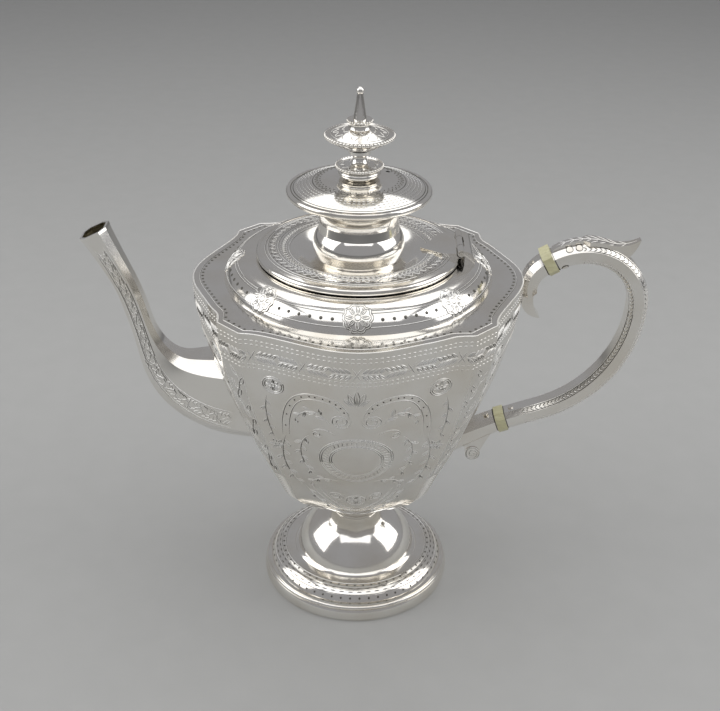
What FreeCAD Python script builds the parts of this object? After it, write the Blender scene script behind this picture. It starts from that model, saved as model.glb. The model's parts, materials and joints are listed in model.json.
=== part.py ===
import FreeCAD, Part
import math
import os

os.makedirs("parts", exist_ok=True)

# Silver teapot: a lobed urn body on a round pedestal foot, a curved spout, a pinned
# handle between two insulators, and a hinged lid with a neck, a canopy and a finial.
# Millimetres, +Z up, the foot's axis at the origin, the spout along -X, the handle along +X.

# Sheet metal and fits
body_wall = 1.2
lid_wall = 1.0
lid_gap = 0.5
running_fit = 0.05
slip_fit = 0.15
# How far a cut runs past the face that it opens
cut_past = 1.0

# Foot rim, a moulded wire
foot_radius = 46.8
foot_rim_width = 3.6
foot_band_height = 6.2
foot_band_crest = 2.8
foot_band_low_draw = 0.6
foot_band_top_draw = 0.9
foot_bead_height = 2.0
foot_bead_swell = 0.6
foot_bead_draw = 0.3
foot_groove_depth = 1.5
foot_groove_width = 0.2

# Pedestal foot, spun from sheet
foot_seat_setback = 0.4
foot_step_width = 1.5
ovolo_width = 8.5
ovolo_height = 5.5
ovolo_sagitta = 1.6
cove_width = 3.7
ridge_width = 1.7
ridge_height = 1.0
ridge_seat_rise = 1.6
dome_height = 21.0
dome_sagitta = 3.4

# Collar between foot and body
collar_radius = 12.7
collar_seat_radius = 10.8
collar_height = 4.0

# Body: a lobed outline that shrinks downwards
body_height = 123.0
body_half_width = 75.8
body_half_depth = 75.8
front_corner_x = 49.8
front_corner_y = 59.6
side_corner_x = 59.6
side_corner_y = 49.8
lobe_power = 1.7
body_taper = 0.616
body_taper_power = 1.59
side_height = 104.0
underside_power = 0.75
body_seat_scale = 0.16
strainer_hole_radius = 1.6
strainer_pitch = 5.0
strainer_ring_count = 6
strainer_depth = 30.0

# Shoulder and mouth
rim_edge = 1.3
flange_rise = 0.3
drum_radius = 61.0
drum_height = 10.3
crown_radius = 48.5
mouth_radius = 41.8
mouth_collar_wall = 1.0
mouth_collar_depth = 8.0

# Lid plate and its rim wire
lid_radius = 46.4
lid_rim_width = 1.8
lid_rim_height = 2.6
lid_rim_low_draw = 0.5
lid_rim_top_draw = 0.7
lid_crown_radius = 38.1
lid_crown_rise = 3.4
lid_crown_curve = 23.6
well_radius = 18.6
well_depth = 1.9
bezel_clearance = 0.9
bezel_depth = 4.6

# Lid neck and canopy
neck_bulge_radius = 20.7
neck_bulge_height = 5.5
neck_top_radius = 18.4
neck_top_height = 13.8
waist_radius = 17.7
waist_height = 17.7
canopy_radius = 32.4
canopy_rim_width = 1.8
canopy_rim_height = 2.9
canopy_rim_crest = 1.3
canopy_rim_low_draw = 0.9
canopy_rim_top_draw = 0.5
flare_height = 12.3
canopy_rise = 5.0
canopy_sagitta = 1.2
canopy_seat_drop = 0.2
canopy_flat_radius = 7.6
vent_radius = 1.0
vent_place = 15.5
vent_angle = 35.0

# Finial, a stack of turned pieces on a stud
finial_base_radius = 7.2
finial_base_height = 2.2
finial_base_waist_radius = 6.3
finial_base_waist_rise = 1.1
finial_seat_radius = 6.8
finial_ring_radius = 9.4
finial_ring_rise = 0.7
finial_ring_height = 1.5
finial_ring_draw = 0.8
finial_dish_radius = 10.3
finial_dish_height = 4.3
finial_dish_edge = 1.2
finial_dish_edge_drop = 0.4
finial_dish_lip = 1.2
finial_dish_well = 0.5
finial_stem_radius = 3.5
finial_stem_height = 4.6
finial_stem_cove = 1.2
finial_flange_radius = 4.9
finial_flange_height = 1.4
finial_disc_radius = 15.0
finial_disc_height = 9.8
finial_disc_seat_radius = 3.9
finial_disc_bowl_radius = 9.0
finial_disc_bowl_rise = 2.1
finial_disc_edge_rise = 5.8
finial_disc_edge = 1.6
finial_disc_lip = 1.6
finial_disc_well = 0.4
finial_cup_radius = 5.5
finial_cup_height = 4.0
finial_cup_seat_radius = 5.0
finial_cup_waist_radius = 4.5
spire_base_radius = 3.0
spire_middle_radius = 2.1
spire_top_radius = 1.35
spire_height = 11.1
ball_radius = 1.7
ball_sink = 0.45
stud_radius = 1.5
stud_reach = 2.3
stud_tail = 1.0
washer_radius = 4.4
washer_thickness = 0.8
nut_radius = 3.4
nut_height = 2.4
nut_sides = 6

# Lid hinge
hinge_setback = 0.8
hinge_lift = 4.8
knuckle_radius = 1.7
hinge_pin_radius = 0.9
hinge_half_length = 11.6
lid_knuckle_half = 4.9
knuckle_gap = 0.25
knuckle_clearance = 0.4
hinge_pin_proud = 0.4
leaf_length = 8.6
leaf_taper = 9.0
leaf_top_drop = 1.6
leaf_tip_drop = 2.6
body_leaf_gap = 0.7
body_leaf_foot = 4.6
body_leaf_toe = 0.6
body_leaf_bow = 0.4
body_leaf_bow_drop = 1.6
body_leaf_inner_drop = 1.5
body_leaf_meet_angle = 37.0

# Spout, two struck halves: its route is given outwards from the body's widest half width
# and upwards from its root
spout_wall = 1.0
spout_root_drop = 61.1
spout_root_sink = 5.5
spout_root_slope = 8.0
spout_root_tail = 12.0
spout_bend_out = 15.2
spout_bend_rise = 14.2
spout_throat_out = 28.2
spout_throat_rise = 48.2
spout_reach = 42.8
spout_mouth_rise = 81.7
spout_mouth_slope = 64.0
spout_root_half_high = 20.4
spout_root_half_wide = 15.0
spout_throat_half_high = 5.1
spout_throat_half_wide = 5.2
spout_mouth_flare = 1.4
spout_swell_share = 0.57
spout_flare_share = 0.2
spout_bevel_share = 0.45
lip_overhang = 0.25
lip_height = 1.3

# Handle
handle_half_wide = 5.6
handle_half_high = 4.5
handle_bevel = 2.4
handle_wall = 1.1
handle_start_in = 3.5
handle_start_drop = 74.5
handle_heading = 19.4
handle_straight = 17.3
handle_back_radius = 60.6
handle_crown_radius = 25.4
handle_front_radius = 29.9
handle_front_turn = 29.4
insulator_thickness = 4.6
insulator_lip = 0.6
upper_insulator_rise = 1.6
spigot_length = 13.0
socket_spigot_length = 6.4
handle_pin_radius = 0.8
handle_pin_head = 1.3
handle_pin_head_height = 0.5
pin_setback = 4.0
upper_pin_setback = 7.3
pin_spacing = 3.9
bevel_pin_sink = 0.15

# Sockets with their scrolls
socket_sink = 5.0
horn_radius = 13.0
horn_turn = 75.0
horn_section_count = 5
upper_root_drop = 9.4
upper_root_half_high = 3.4
upper_root_half_wide = 5.2
tail_out = 2.6
tail_width = 6.6
tail_drop = 9.0
tail_half_width = 3.2
tail_root_in = 1.0
tail_root_rise = 5.0
tail_bow_drop = 6.2
tail_crook_out = 3.9
tail_crook_drop = 4.5
tail_top_out = 4.2
tail_top_rise = 7.0
lower_root_drop = 88.2
lower_root_half_high = 6.0
lower_root_half_wide = 6.4
volute_out = 8.7
volute_drop = 4.6
volute_radius = 3.6
volute_half_length = 4.6
strap_height = 12.0
strap_width = 9.0
strap_setback = 0.6
strap_lean = 1.0
strap_cove_out = 4.95
strap_cove_rise = 4.2
strap_tuck_out = 1.8
strap_tuck_drop = 2.9

# Thumb leaf
leaf_thickness = 1.9
leaf_half_width = 4.6
leaf_tip_half_width = 1.8
leaf_front_half_width = 2.3
leaf_spread = 2.6
leaf_tip_rise = 9.8
leaf_back_rise = 4.8
leaf_curl_rise = 4.0
leaf_front_thickness = 0.95
leaf_tip_angle = 54.0
leaf_curl_angle = 61.0
leaf_seat_angle = 74.0
leaf_top_angle = 82.0
leaf_lift_angle = 52.0
leaf_front_angle = 117.0

# Heights that follow from the sizes above
foot_rim_height = foot_band_height + foot_bead_height
pedestal_top = foot_rim_height + body_wall + ovolo_height + ridge_seat_rise + dome_height
body_base = pedestal_top + collar_height
rim_z = body_base + body_height
mouth_z = rim_z + rim_edge + flange_rise + drum_height
lid_z = mouth_z + lid_gap
lid_edge_z = lid_z + lid_rim_height
well_z = lid_z - well_depth
canopy_rim_z = well_z + waist_height + flare_height
canopy_edge_z = canopy_rim_z + canopy_rim_height
canopy_top_z = canopy_edge_z + canopy_rise
hinge_x = lid_radius - hinge_setback
hinge_z = lid_z + hinge_lift
leaf_inner_x = hinge_x - leaf_length
leaf_tip_x = leaf_inner_x - leaf_taper
bevel_shrink = 2 - math.sqrt(2)
axis_up = FreeCAD.Vector(0, 0, 1)
axis_across = FreeCAD.Vector(0, 1, 0)
origin = FreeCAD.Vector(0, 0, 0)


def point(x, z, y=0.0):
    return FreeCAD.Vector(x, y, z)


def path(*steps):
    """A wire in the XZ plane: a point draws a line, a pair (via, end) draws an arc."""
    here = steps[0]
    edges = []
    for step in steps[1:]:
        if isinstance(step[0], tuple):
            via, there = step
            edges.append(Part.Arc(point(*here), point(*via), point(*there)).toShape())
        else:
            there = step
            edges.append(Part.LineSegment(point(*here), point(*there)).toShape())
        here = there
    return Part.Wire(edges)


def turned(*steps):
    """A closed profile turned about the vertical axis."""
    return Part.Face(path(*steps, steps[0])).revolve(origin, axis_up, 360)


def spun(wall, *steps):
    """A sheet whose outer face is the open profile, turned about the vertical axis."""
    return path(*steps).makeOffset2D(wall, 2, True, True).revolve(origin, axis_up, 360)


def rod(radius, start, end):
    return Part.makeCylinder(radius, (end - start).Length, start, end - start)


def bored(solid, radius):
    """The solid with a bore of this radius along the vertical axis."""
    low = solid.BoundBox.ZMin - cut_past
    return solid.cut(rod(radius, point(0, low), point(0, solid.BoundBox.ZMax + cut_past)))


def chord_bulge(start, end, sagitta):
    """The point that stands off the middle of a chord by the sagitta, on its left."""
    dx = end[0] - start[0]
    dz = end[1] - start[1]
    length = math.hypot(dx, dz)
    middle_x = (start[0] + end[0]) / 2
    middle_z = (start[1] + end[1]) / 2
    return (middle_x - dz / length * sagitta, middle_z + dx / length * sagitta)


# Body outline

def lobe(half_span, corner, crest, turn, scale, z):
    """One lobe of the outline: flat at its two corners, swelling to its crest."""
    steps = 8
    points = []
    for i in range(steps + 1):
        t = 2 * i / steps - 1
        swell = max(math.cos(math.pi * t / 2), 0.0) ** lobe_power
        out = corner + (crest - corner) * swell
        place = FreeCAD.Vector(half_span * t * scale, -out * scale, z)
        points.append(FreeCAD.Rotation(axis_up, turn).multVec(place))
    along = FreeCAD.Rotation(axis_up, turn).multVec(FreeCAD.Vector(half_span * scale, 0, 0))
    curve = Part.BSplineCurve()
    curve.interpolate(Points=points, InitialTangent=along, FinalTangent=along)
    return curve.toShape()


def outline(scale, z):
    """The lobed plan outline at a height: four lobes joined by four straight facets."""
    front = (front_corner_x, front_corner_y, body_half_depth)
    side = (side_corner_y, side_corner_x, body_half_width)
    lobes = []
    for turn, shape in ((0, front), (90, side), (180, front), (270, side)):
        lobes.append(lobe(*shape, turn, scale, z))
    edges = []
    for i, edge in enumerate(lobes):
        edges.append(edge)
        following = lobes[(i + 1) % len(lobes)]
        edges.append(Part.LineSegment(edge.lastVertex().Point, following.firstVertex().Point).toShape())
    return Part.Wire(edges)


def round_outline(radius, z):
    """A circle split at the same eight directions as the lobed outline."""
    front_angle = math.degrees(math.atan2(-front_corner_y, front_corner_x))
    side_angle = math.degrees(math.atan2(-side_corner_y, side_corner_x))
    half = [front_angle, side_angle, -side_angle, -front_angle]
    angles = half + [a + 180 for a in half]
    angles = [angles[-1] - 360] + angles
    circle = Part.Circle(point(0, z), axis_up, radius)
    edges = []
    for low, high in zip(angles, angles[1:]):
        edges.append(circle.toShape(math.radians(low), math.radians(high)))
    return Part.Wire(edges)


def body_scale(drop):
    """How far the outline has shrunk at a drop below the rim."""
    if drop <= side_height:
        return 1 - body_taper * (drop / body_height) ** body_taper_power
    turn = 1 - body_taper * (side_height / body_height) ** body_taper_power
    left = (body_height - drop) / (body_height - side_height)
    return body_seat_scale + (turn - body_seat_scale) * max(left, 0.0) ** underside_power


def body_side_x(drop):
    return body_half_width * body_scale(drop)


def body_solid(inset, floor, top):
    """The body's full volume, drawn in by an inset, from a floor above its base to a top."""
    side_steps = 8
    base_steps = 4
    drops = [side_height * i / side_steps for i in range(side_steps + 1)]
    reach = body_height - floor - side_height
    drops += [side_height + reach * i / base_steps for i in range(1, base_steps + 1)]
    shrink = inset / body_half_width
    wires = [outline(body_scale(0) - shrink, rim_z + top)] if top else []
    for drop in drops:
        scale = body_scale(drop + floor * drop / (body_height - floor)) - shrink
        wires.append(outline(scale, rim_z - drop))
    return Part.makeLoft(wires[::-1], True, False)


# Foot, pedestal and collar

def make_foot_rim():
    inner = foot_radius - foot_rim_width
    neck = foot_radius - foot_groove_depth
    bead = foot_rim_height - foot_bead_height / 2
    return turned(
        (inner, 0),
        (foot_radius - foot_band_low_draw, 0),
        ((foot_radius, foot_band_crest), (foot_radius - foot_band_top_draw, foot_band_height)),
        (neck, foot_band_height + foot_groove_width),
        ((neck + foot_bead_swell, bead), (neck - foot_bead_draw, foot_rim_height)),
        (inner, foot_rim_height),
    )


def make_pedestal_foot():
    edge = foot_radius - foot_groove_depth - foot_seat_setback
    step = edge - foot_step_width
    step_z = foot_rim_height + body_wall
    ovolo_end = step - ovolo_width
    ovolo_z = step_z + ovolo_height
    ridge = ovolo_end - cove_width
    dome = ridge - ridge_width
    dome_z = ovolo_z + ridge_seat_rise
    shoulder = chord_bulge((step, step_z), (ovolo_end, ovolo_z), -ovolo_sagitta)
    crest = chord_bulge((dome, dome_z), (collar_seat_radius, pedestal_top), -dome_sagitta)
    sheet = spun(
        body_wall,
        (edge, step_z),
        (step, step_z),
        (shoulder, (ovolo_end, ovolo_z)),
        (ridge, ovolo_z),
        (dome, dome_z),
        (crest, (collar_seat_radius, pedestal_top)),
        (0, pedestal_top),
    )
    ridge_ring = turned(
        (ridge, ovolo_z),
        ((ridge - ridge_width / 2, ovolo_z + ridge_height), (dome, dome_z)),
    )
    return sheet.fuse(ridge_ring)


def make_stem_collar():
    middle = pedestal_top + collar_height / 2
    return turned(
        (0, pedestal_top),
        (collar_seat_radius, pedestal_top),
        ((collar_radius, middle), (collar_seat_radius, body_base)),
        (0, body_base),
    )


# Body shell with the strainer holes behind the spout

spout_root_z = rim_z - spout_root_drop


def strainer_holes():
    places = [(0.0, 0.0)]
    for i in range(strainer_ring_count):
        angle = 2 * math.pi * (i + 0.5) / strainer_ring_count
        places.append((strainer_pitch * math.cos(angle), strainer_pitch * math.sin(angle)))
    holes = []
    for across, up in places:
        start = point(-body_half_width, spout_root_z + up, across)
        holes.append(rod(strainer_hole_radius, start, start + point(strainer_depth, 0)))
    return holes


def make_body_shell(solid):
    return solid.cut(body_solid(body_wall, body_wall, cut_past)).cut(strainer_holes())


# Shoulder and mouth collar

def shoulder_solid(inset):
    """The shoulder's volume from the rim to the mouth, drawn in by an inset."""
    shrink = 1 - inset / body_half_width
    edge_z = rim_z + rim_edge - inset
    drum_z = edge_z + flange_rise
    top = mouth_z - inset
    drum = drum_radius - inset
    band = Part.Face(outline(shrink, rim_z - (cut_past if inset else 0)))
    band = band.extrude(FreeCAD.Vector(0, 0, edge_z - band.BoundBox.ZMin))
    flange = Part.makeLoft([outline(shrink, edge_z), round_outline(drum, drum_z)], True, True)
    across = drum - crown_radius
    curve = (across**2 + (top - drum_z) ** 2) / (2 * (top - drum_z))
    half_turn = math.atan2(across, curve - (top - drum_z)) / 2
    bulge = (crown_radius + curve * math.sin(half_turn), top - curve + curve * math.cos(half_turn))
    crown = turned(
        (0, drum_z),
        (drum, drum_z),
        (bulge, (crown_radius, top)),
        (0, top),
    )
    return band.fuse([flange, crown])


def make_shoulder(solid):
    mouth = rod(mouth_radius, point(0, rim_z), point(0, mouth_z + cut_past))
    return solid.cut(shoulder_solid(body_wall)).cut(mouth)


def make_mouth_collar():
    inner = mouth_radius - mouth_collar_wall
    low = mouth_z - mouth_collar_depth
    return turned((inner, low), (mouth_radius, low), (mouth_radius, mouth_z), (inner, mouth_z))


# Lid

bezel_radius = mouth_radius - mouth_collar_wall - bezel_clearance
lid_crown_z = lid_z + lid_crown_rise


def lid_plate_profile():
    """The plate's top face: a small cove round the neck, then a broad crown out to the rim."""
    edge = lid_radius - lid_rim_width
    centre_z = lid_crown_z - lid_crown_curve
    across = lid_crown_radius - well_radius
    up = well_z - centre_z
    cove = (across**2 + up**2 - lid_crown_curve**2) / (2 * (lid_crown_curve - up))
    share = cove / (lid_crown_curve + cove)
    meet = (well_radius + across * share, well_z + cove - (up + cove) * share)
    half_turn = math.atan2(meet[0] - well_radius, well_z + cove - meet[1]) / 2
    cove_via = (well_radius + cove * math.sin(half_turn), well_z + cove - cove * math.cos(half_turn))
    edge_z = centre_z + math.sqrt(lid_crown_curve**2 - (edge - lid_crown_radius) ** 2)
    return (
        (edge, edge_z),
        ((lid_crown_radius, lid_crown_z), meet),
        (cove_via, (well_radius, well_z)),
        (well_radius - lid_wall, well_z),
    )


def make_lid_plate():
    return spun(lid_wall, *lid_plate_profile())


def make_lid_rim_wire():
    inner = lid_radius - lid_rim_width
    middle = lid_z + lid_rim_height / 2
    return turned(
        (inner, lid_z),
        (lid_radius - lid_rim_low_draw, lid_z),
        ((lid_radius, middle), (lid_radius - lid_rim_top_draw, lid_edge_z)),
        (inner, lid_edge_z),
    )


def make_lid_bezel(plate):
    inner = bezel_radius - lid_wall
    low = lid_z - bezel_depth
    ring = turned((inner, low), (bezel_radius, low), (bezel_radius, lid_crown_z), (inner, lid_crown_z))
    return min(ring.cut(plate).Solids, key=lambda solid: solid.BoundBox.ZMin)


def make_lid_neck():
    flare_x = canopy_radius - canopy_rim_width
    waist_z = well_z + waist_height
    eighth = math.sqrt(0.5)
    flare_via = (flare_x - (flare_x - waist_radius) * eighth, waist_z + flare_height * eighth)
    sheet = spun(
        lid_wall,
        (well_radius, well_z),
        (
            (neck_bulge_radius, well_z + neck_bulge_height),
            (neck_top_radius, well_z + neck_top_height),
        ),
        (waist_radius, waist_z),
        (flare_via, (flare_x, canopy_rim_z)),
    )
    tall = canopy_edge_z - well_z + cut_past
    return sheet.common(Part.makeCylinder(flare_x, tall, point(0, well_z - cut_past)))


def make_canopy_rim_wire():
    inner = canopy_radius - canopy_rim_width
    crest_z = canopy_rim_z + canopy_rim_crest
    return turned(
        (inner, canopy_rim_z),
        (canopy_radius - canopy_rim_low_draw, canopy_rim_z),
        ((canopy_radius, crest_z), (canopy_radius - canopy_rim_top_draw, canopy_edge_z)),
        (inner, canopy_edge_z),
    )


def make_lid_canopy():
    edge = canopy_radius - canopy_rim_width
    edge_z = canopy_edge_z - canopy_seat_drop
    swell = chord_bulge((edge, edge_z), (canopy_flat_radius, canopy_top_z), -canopy_sagitta)
    sheet = spun(
        lid_wall,
        (edge, edge_z),
        (swell, (canopy_flat_radius, canopy_top_z)),
        (0, canopy_top_z),
    )
    sheet = sheet.common(Part.makeCylinder(edge, canopy_rise + canopy_rim_height, point(0, canopy_rim_z)))
    angle = math.radians(vent_angle)
    vent = point(vent_place * math.cos(angle), canopy_rim_z, vent_place * math.sin(angle))
    hole = rod(vent_radius, vent, vent + axis_up * (canopy_rise + canopy_rim_height))
    return bored(sheet, stud_radius + slip_fit).cut(hole)


# Finial, from the canopy upwards

dish_z = canopy_top_z + finial_base_height
stem_z = dish_z + finial_dish_height
disc_z = stem_z + finial_stem_height + finial_flange_height
cup_z = disc_z + finial_disc_height
spire_z = cup_z + finial_cup_height
stud_end = cup_z + stud_reach


def make_finial():
    """The turned pieces of the finial by name, each seated on the one below."""
    ring_z = dish_z + finial_ring_height
    dish_edge_z = stem_z - finial_dish_edge_drop
    disc_edge_z = disc_z + finial_disc_edge_rise
    disc_top_z = disc_edge_z + finial_disc_edge
    cup_waist_z = cup_z + finial_cup_height / 2
    pieces = {
        "finial_base": turned(
            (0, canopy_top_z),
            (finial_base_radius, canopy_top_z),
            (
                (finial_base_waist_radius, canopy_top_z + finial_base_waist_rise),
                (finial_seat_radius, dish_z),
            ),
            (0, dish_z),
        ),
        "finial_dish": turned(
            (0, dish_z),
            (finial_seat_radius, dish_z),
            (
                (finial_ring_radius, dish_z + finial_ring_rise),
                (finial_ring_radius - finial_ring_draw, ring_z),
            ),
            (finial_dish_radius, dish_edge_z - finial_dish_edge),
            (finial_dish_radius, dish_edge_z),
            (finial_dish_radius - finial_dish_lip, dish_edge_z - finial_dish_well),
            (finial_flange_radius, stem_z),
            (0, stem_z),
        ),
        "finial_stem": turned(
            (0, stem_z),
            (finial_flange_radius, stem_z),
            (
                (finial_stem_radius, stem_z + finial_stem_cove),
                (finial_stem_radius, stem_z + finial_stem_height),
            ),
            (finial_flange_radius, stem_z + finial_stem_height),
            (finial_flange_radius, disc_z),
            (0, disc_z),
        ),
        "finial_disc": turned(
            (0, disc_z),
            (finial_disc_seat_radius, disc_z),
            (
                (finial_disc_bowl_radius, disc_z + finial_disc_bowl_rise),
                (finial_disc_radius, disc_edge_z),
            ),
            (finial_disc_radius, disc_top_z),
            (finial_disc_radius - finial_disc_lip, disc_top_z - finial_disc_well),
            (finial_cup_radius, cup_z),
            (0, cup_z),
        ),
        "finial_cup": turned(
            (0, cup_z),
            (finial_cup_seat_radius, cup_z),
            ((finial_cup_waist_radius, cup_waist_z), (finial_cup_radius, spire_z)),
            (0, spire_z),
        ),
    }
    for name in pieces:
        pieces[name] = bored(pieces[name], stud_radius + slip_fit)
    cap = rod(stud_radius + slip_fit * 2, point(0, stud_end), point(0, spire_z))
    pieces["finial_cup"] = pieces["finial_cup"].fuse(cap)
    neck_z = spire_z + spire_height
    spire = turned(
        (0, spire_z),
        (spire_base_radius, spire_z),
        ((spire_middle_radius, spire_z + spire_height / 2), (spire_top_radius, neck_z)),
        (0, neck_z),
    )
    ball = Part.makeSphere(ball_radius, point(0, neck_z + ball_radius - ball_sink))
    pieces["finial_spire"] = spire.fuse(ball)
    return pieces


def make_finial_fixing():
    """The stud through the finial, and the washer and nut that hold it under the canopy."""
    washer_z = canopy_top_z - lid_wall
    nut_z = washer_z - washer_thickness
    low = nut_z - nut_height
    stud = rod(stud_radius, point(0, low - stud_tail), point(0, stud_end))
    washer = rod(washer_radius, point(0, nut_z), point(0, washer_z))
    corners = []
    for i in range(nut_sides + 1):
        angle = 2 * math.pi * i / nut_sides
        corners.append(point(nut_radius * math.cos(angle), low, nut_radius * math.sin(angle)))
    nut = Part.Face(Part.makePolygon(corners)).extrude(FreeCAD.Vector(0, 0, nut_height))
    return {
        "finial_stud": stud,
        "finial_washer": bored(washer, stud_radius + slip_fit),
        "finial_nut": bored(nut, stud_radius + running_fit),
    }


# Hinge between the lid and the shoulder

def across_rod(radius, x, z, low, high):
    return rod(radius, point(x, z, low), point(x, z, high))


def make_hinge(crown):
    """The two leaves and the pin; the lid's leaf has the middle knuckle."""
    outer = lid_knuckle_half + knuckle_gap
    leaf_top = hinge_z + knuckle_radius - leaf_top_drop
    clear = knuckle_radius + knuckle_clearance
    bore = hinge_pin_radius + running_fit
    half = hinge_half_length
    lid_knuckle = across_rod(knuckle_radius, hinge_x, hinge_z, -lid_knuckle_half, lid_knuckle_half)
    plan = [(hinge_x, half), (leaf_inner_x, half), (leaf_tip_x, 0.0)]
    plan += [(x, -y) for x, y in reversed(plan[:2])]
    corners = [point(x, well_z, y) for x, y in plan]
    block = Part.Face(Part.makePolygon(corners + corners[:1])).extrude(point(0, leaf_top - well_z))
    tip_z = leaf_top - leaf_tip_drop
    slope = Part.Face(path(
        (leaf_inner_x, leaf_top),
        (leaf_tip_x - cut_past, tip_z),
        (leaf_tip_x - cut_past, leaf_top + cut_past),
        (leaf_inner_x, leaf_top + cut_past),
        (leaf_inner_x, leaf_top),
    )).extrude(FreeCAD.Vector(0, half * 4, 0))
    slope.translate(FreeCAD.Vector(0, -half * 2, 0))
    under = Part.Face(path(
        *lid_plate_profile(),
        (well_radius - lid_wall, well_z - lid_wall),
        (lid_radius + cut_past, well_z - lid_wall),
        (lid_radius + cut_past, lid_edge_z),
        (lid_radius - lid_rim_width, lid_edge_z),
        lid_plate_profile()[0],
    )).revolve(origin, axis_up, 360)
    reach = half + cut_past
    ends = [across_rod(clear, hinge_x, hinge_z, lid_knuckle_half, reach)]
    ends.append(across_rod(clear, hinge_x, hinge_z, -reach, -lid_knuckle_half))
    past = Part.makeBox(lid_radius, reach * 2, hinge_z, point(hinge_x, well_z, -reach))
    lid_leaf = block.cut([slope, under, past] + ends).fuse(lid_knuckle)
    lid_leaf = lid_leaf.cut([under, across_rod(bore, hinge_x, hinge_z, -half, half)])

    inner_x = lid_radius + body_leaf_gap
    outer_x = inner_x + body_leaf_foot
    meet = forward(point(hinge_x, hinge_z), body_leaf_meet_angle, knuckle_radius)
    bracket = Part.Face(path(
        (inner_x, mouth_z - body_wall),
        (outer_x, mouth_z - body_wall * 2),
        (outer_x, mouth_z + body_leaf_toe),
        ((outer_x - body_leaf_bow, hinge_z - body_leaf_bow_drop), (meet.x, meet.z)),
        (hinge_x, hinge_z),
        (inner_x, hinge_z - body_leaf_inner_drop),
        (inner_x, mouth_z - body_wall),
    )).extrude(FreeCAD.Vector(0, half * 2, 0))
    bracket.translate(FreeCAD.Vector(0, -half, 0))
    middle = across_rod(clear, hinge_x, hinge_z, -outer, outer)
    leaf = bracket.cut(middle)
    for low, high in ((-half, -outer), (outer, half)):
        leaf = leaf.fuse(across_rod(knuckle_radius, hinge_x, hinge_z, low, high))
    leaf = leaf.cut([crown, across_rod(bore, hinge_x, hinge_z, -half, half)])
    pin_half = half + hinge_pin_proud
    pin = across_rod(hinge_pin_radius, hinge_x, hinge_z, -pin_half, pin_half)
    return {"hinge_lid_leaf": lid_leaf, "hinge_body_leaf": leaf, "hinge_pin": pin}


# Bars of eight-sided section: spout, handle, insulators and sockets

def octagon(centre, heading, half_wide, half_high, bevel):
    """A bevelled section across a heading, given in degrees above +X in the XZ plane."""
    angle = math.radians(heading)
    up = point(-math.sin(angle), math.cos(angle))
    flat_wide = half_wide - bevel
    flat_high = half_high - bevel
    ring = [
        (flat_wide, half_high),
        (-flat_wide, half_high),
        (-half_wide, flat_high),
        (-half_wide, -flat_high),
        (-flat_wide, -half_high),
        (flat_wide, -half_high),
        (half_wide, -flat_high),
        (half_wide, flat_high),
    ]
    corners = [centre + axis_across * wide + up * high for wide, high in ring]
    return Part.makePolygon(corners + corners[:1])


def forward(centre, heading, length):
    angle = math.radians(heading)
    return centre + point(math.cos(angle), math.sin(angle)) * length


def arc_end(centre, heading, radius, turn):
    """Where a left-hand arc ends, and the axis point that it turns about."""
    middle = forward(centre, heading + 90, radius)
    return forward(middle, heading + turn - 90, radius), middle


def slope_vector(slope):
    """A direction towards the spout, at a slope in degrees above the horizontal."""
    return point(-math.cos(math.radians(slope)), math.sin(math.radians(slope)))


def spout_sections(inset, count):
    """Sections from inside the body to the mouth: deep at the root, narrow at the throat."""
    route = [
        point(spout_root_sink - body_side_x(spout_root_drop), spout_root_z),
        point(-body_half_width - spout_bend_out, spout_root_z + spout_bend_rise),
        point(-body_half_width - spout_throat_out, spout_root_z + spout_throat_rise),
        point(-body_half_width - spout_reach, spout_root_z + spout_mouth_rise),
    ]
    curve = Part.BSplineCurve()
    curve.interpolate(
        Points=route,
        InitialTangent=slope_vector(spout_root_slope),
        FinalTangent=slope_vector(spout_mouth_slope),
    )
    root_bevel = min(spout_root_half_wide, spout_root_half_high) * spout_bevel_share
    tail = octagon(
        route[0] - slope_vector(spout_root_slope) * spout_root_tail,
        180 - spout_root_slope,
        spout_root_half_wide - inset,
        spout_root_half_high - inset,
        root_bevel - inset * bevel_shrink,
    )
    sections = [tail]
    for i in range(count):
        t = i / (count - 1)
        at = curve.FirstParameter + t * (curve.LastParameter - curve.FirstParameter)
        tangent = curve.tangent(at)[0]
        heading = math.degrees(math.atan2(tangent.z, tangent.x))
        swell = math.cos(math.pi / 2 * min(t / spout_swell_share, 1.0)) ** 2
        flare = spout_mouth_flare * (max(t - 1 + spout_flare_share, 0.0) / spout_flare_share) ** 2
        high = spout_throat_half_high + (spout_root_half_high - spout_throat_half_high) * swell + flare
        wide = spout_throat_half_wide + (spout_root_half_wide - spout_throat_half_wide) * swell + flare
        bevel = min(wide, high) * spout_bevel_share - inset * bevel_shrink
        sections.append(octagon(curve.value(at), heading, wide - inset, high - inset, bevel))
    return sections


def make_spout(body):
    """The two halves of the spout, seamed along its middle, and the wire round its mouth."""
    count = 11
    outer = spout_sections(0.0, count)
    inner = spout_sections(spout_wall, count)
    rim = spout_sections(-lip_overhang, count)
    lip_face = Part.Face(rim[-1]).cut(Part.Face(inner[-1]))
    tube = Part.makeLoft(outer, True, False).cut(Part.makeLoft(inner, True, False)).cut(body)
    size = body_half_width * 4
    pieces = {"spout_lip": lip_face.extrude(slope_vector(spout_mouth_slope) * lip_height)}
    for name, low in (("spout_front_half", -size), ("spout_back_half", 0.0)):
        side = Part.makeBox(size, size, size, FreeCAD.Vector(-size, low, 0))
        pieces[name] = tube.common(side)
    return pieces


handle_start = point(body_half_width - handle_start_in, rim_z - handle_start_drop)
handle_crown_turn = 90.0
handle_back_turn = 90.0 - handle_heading


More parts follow.
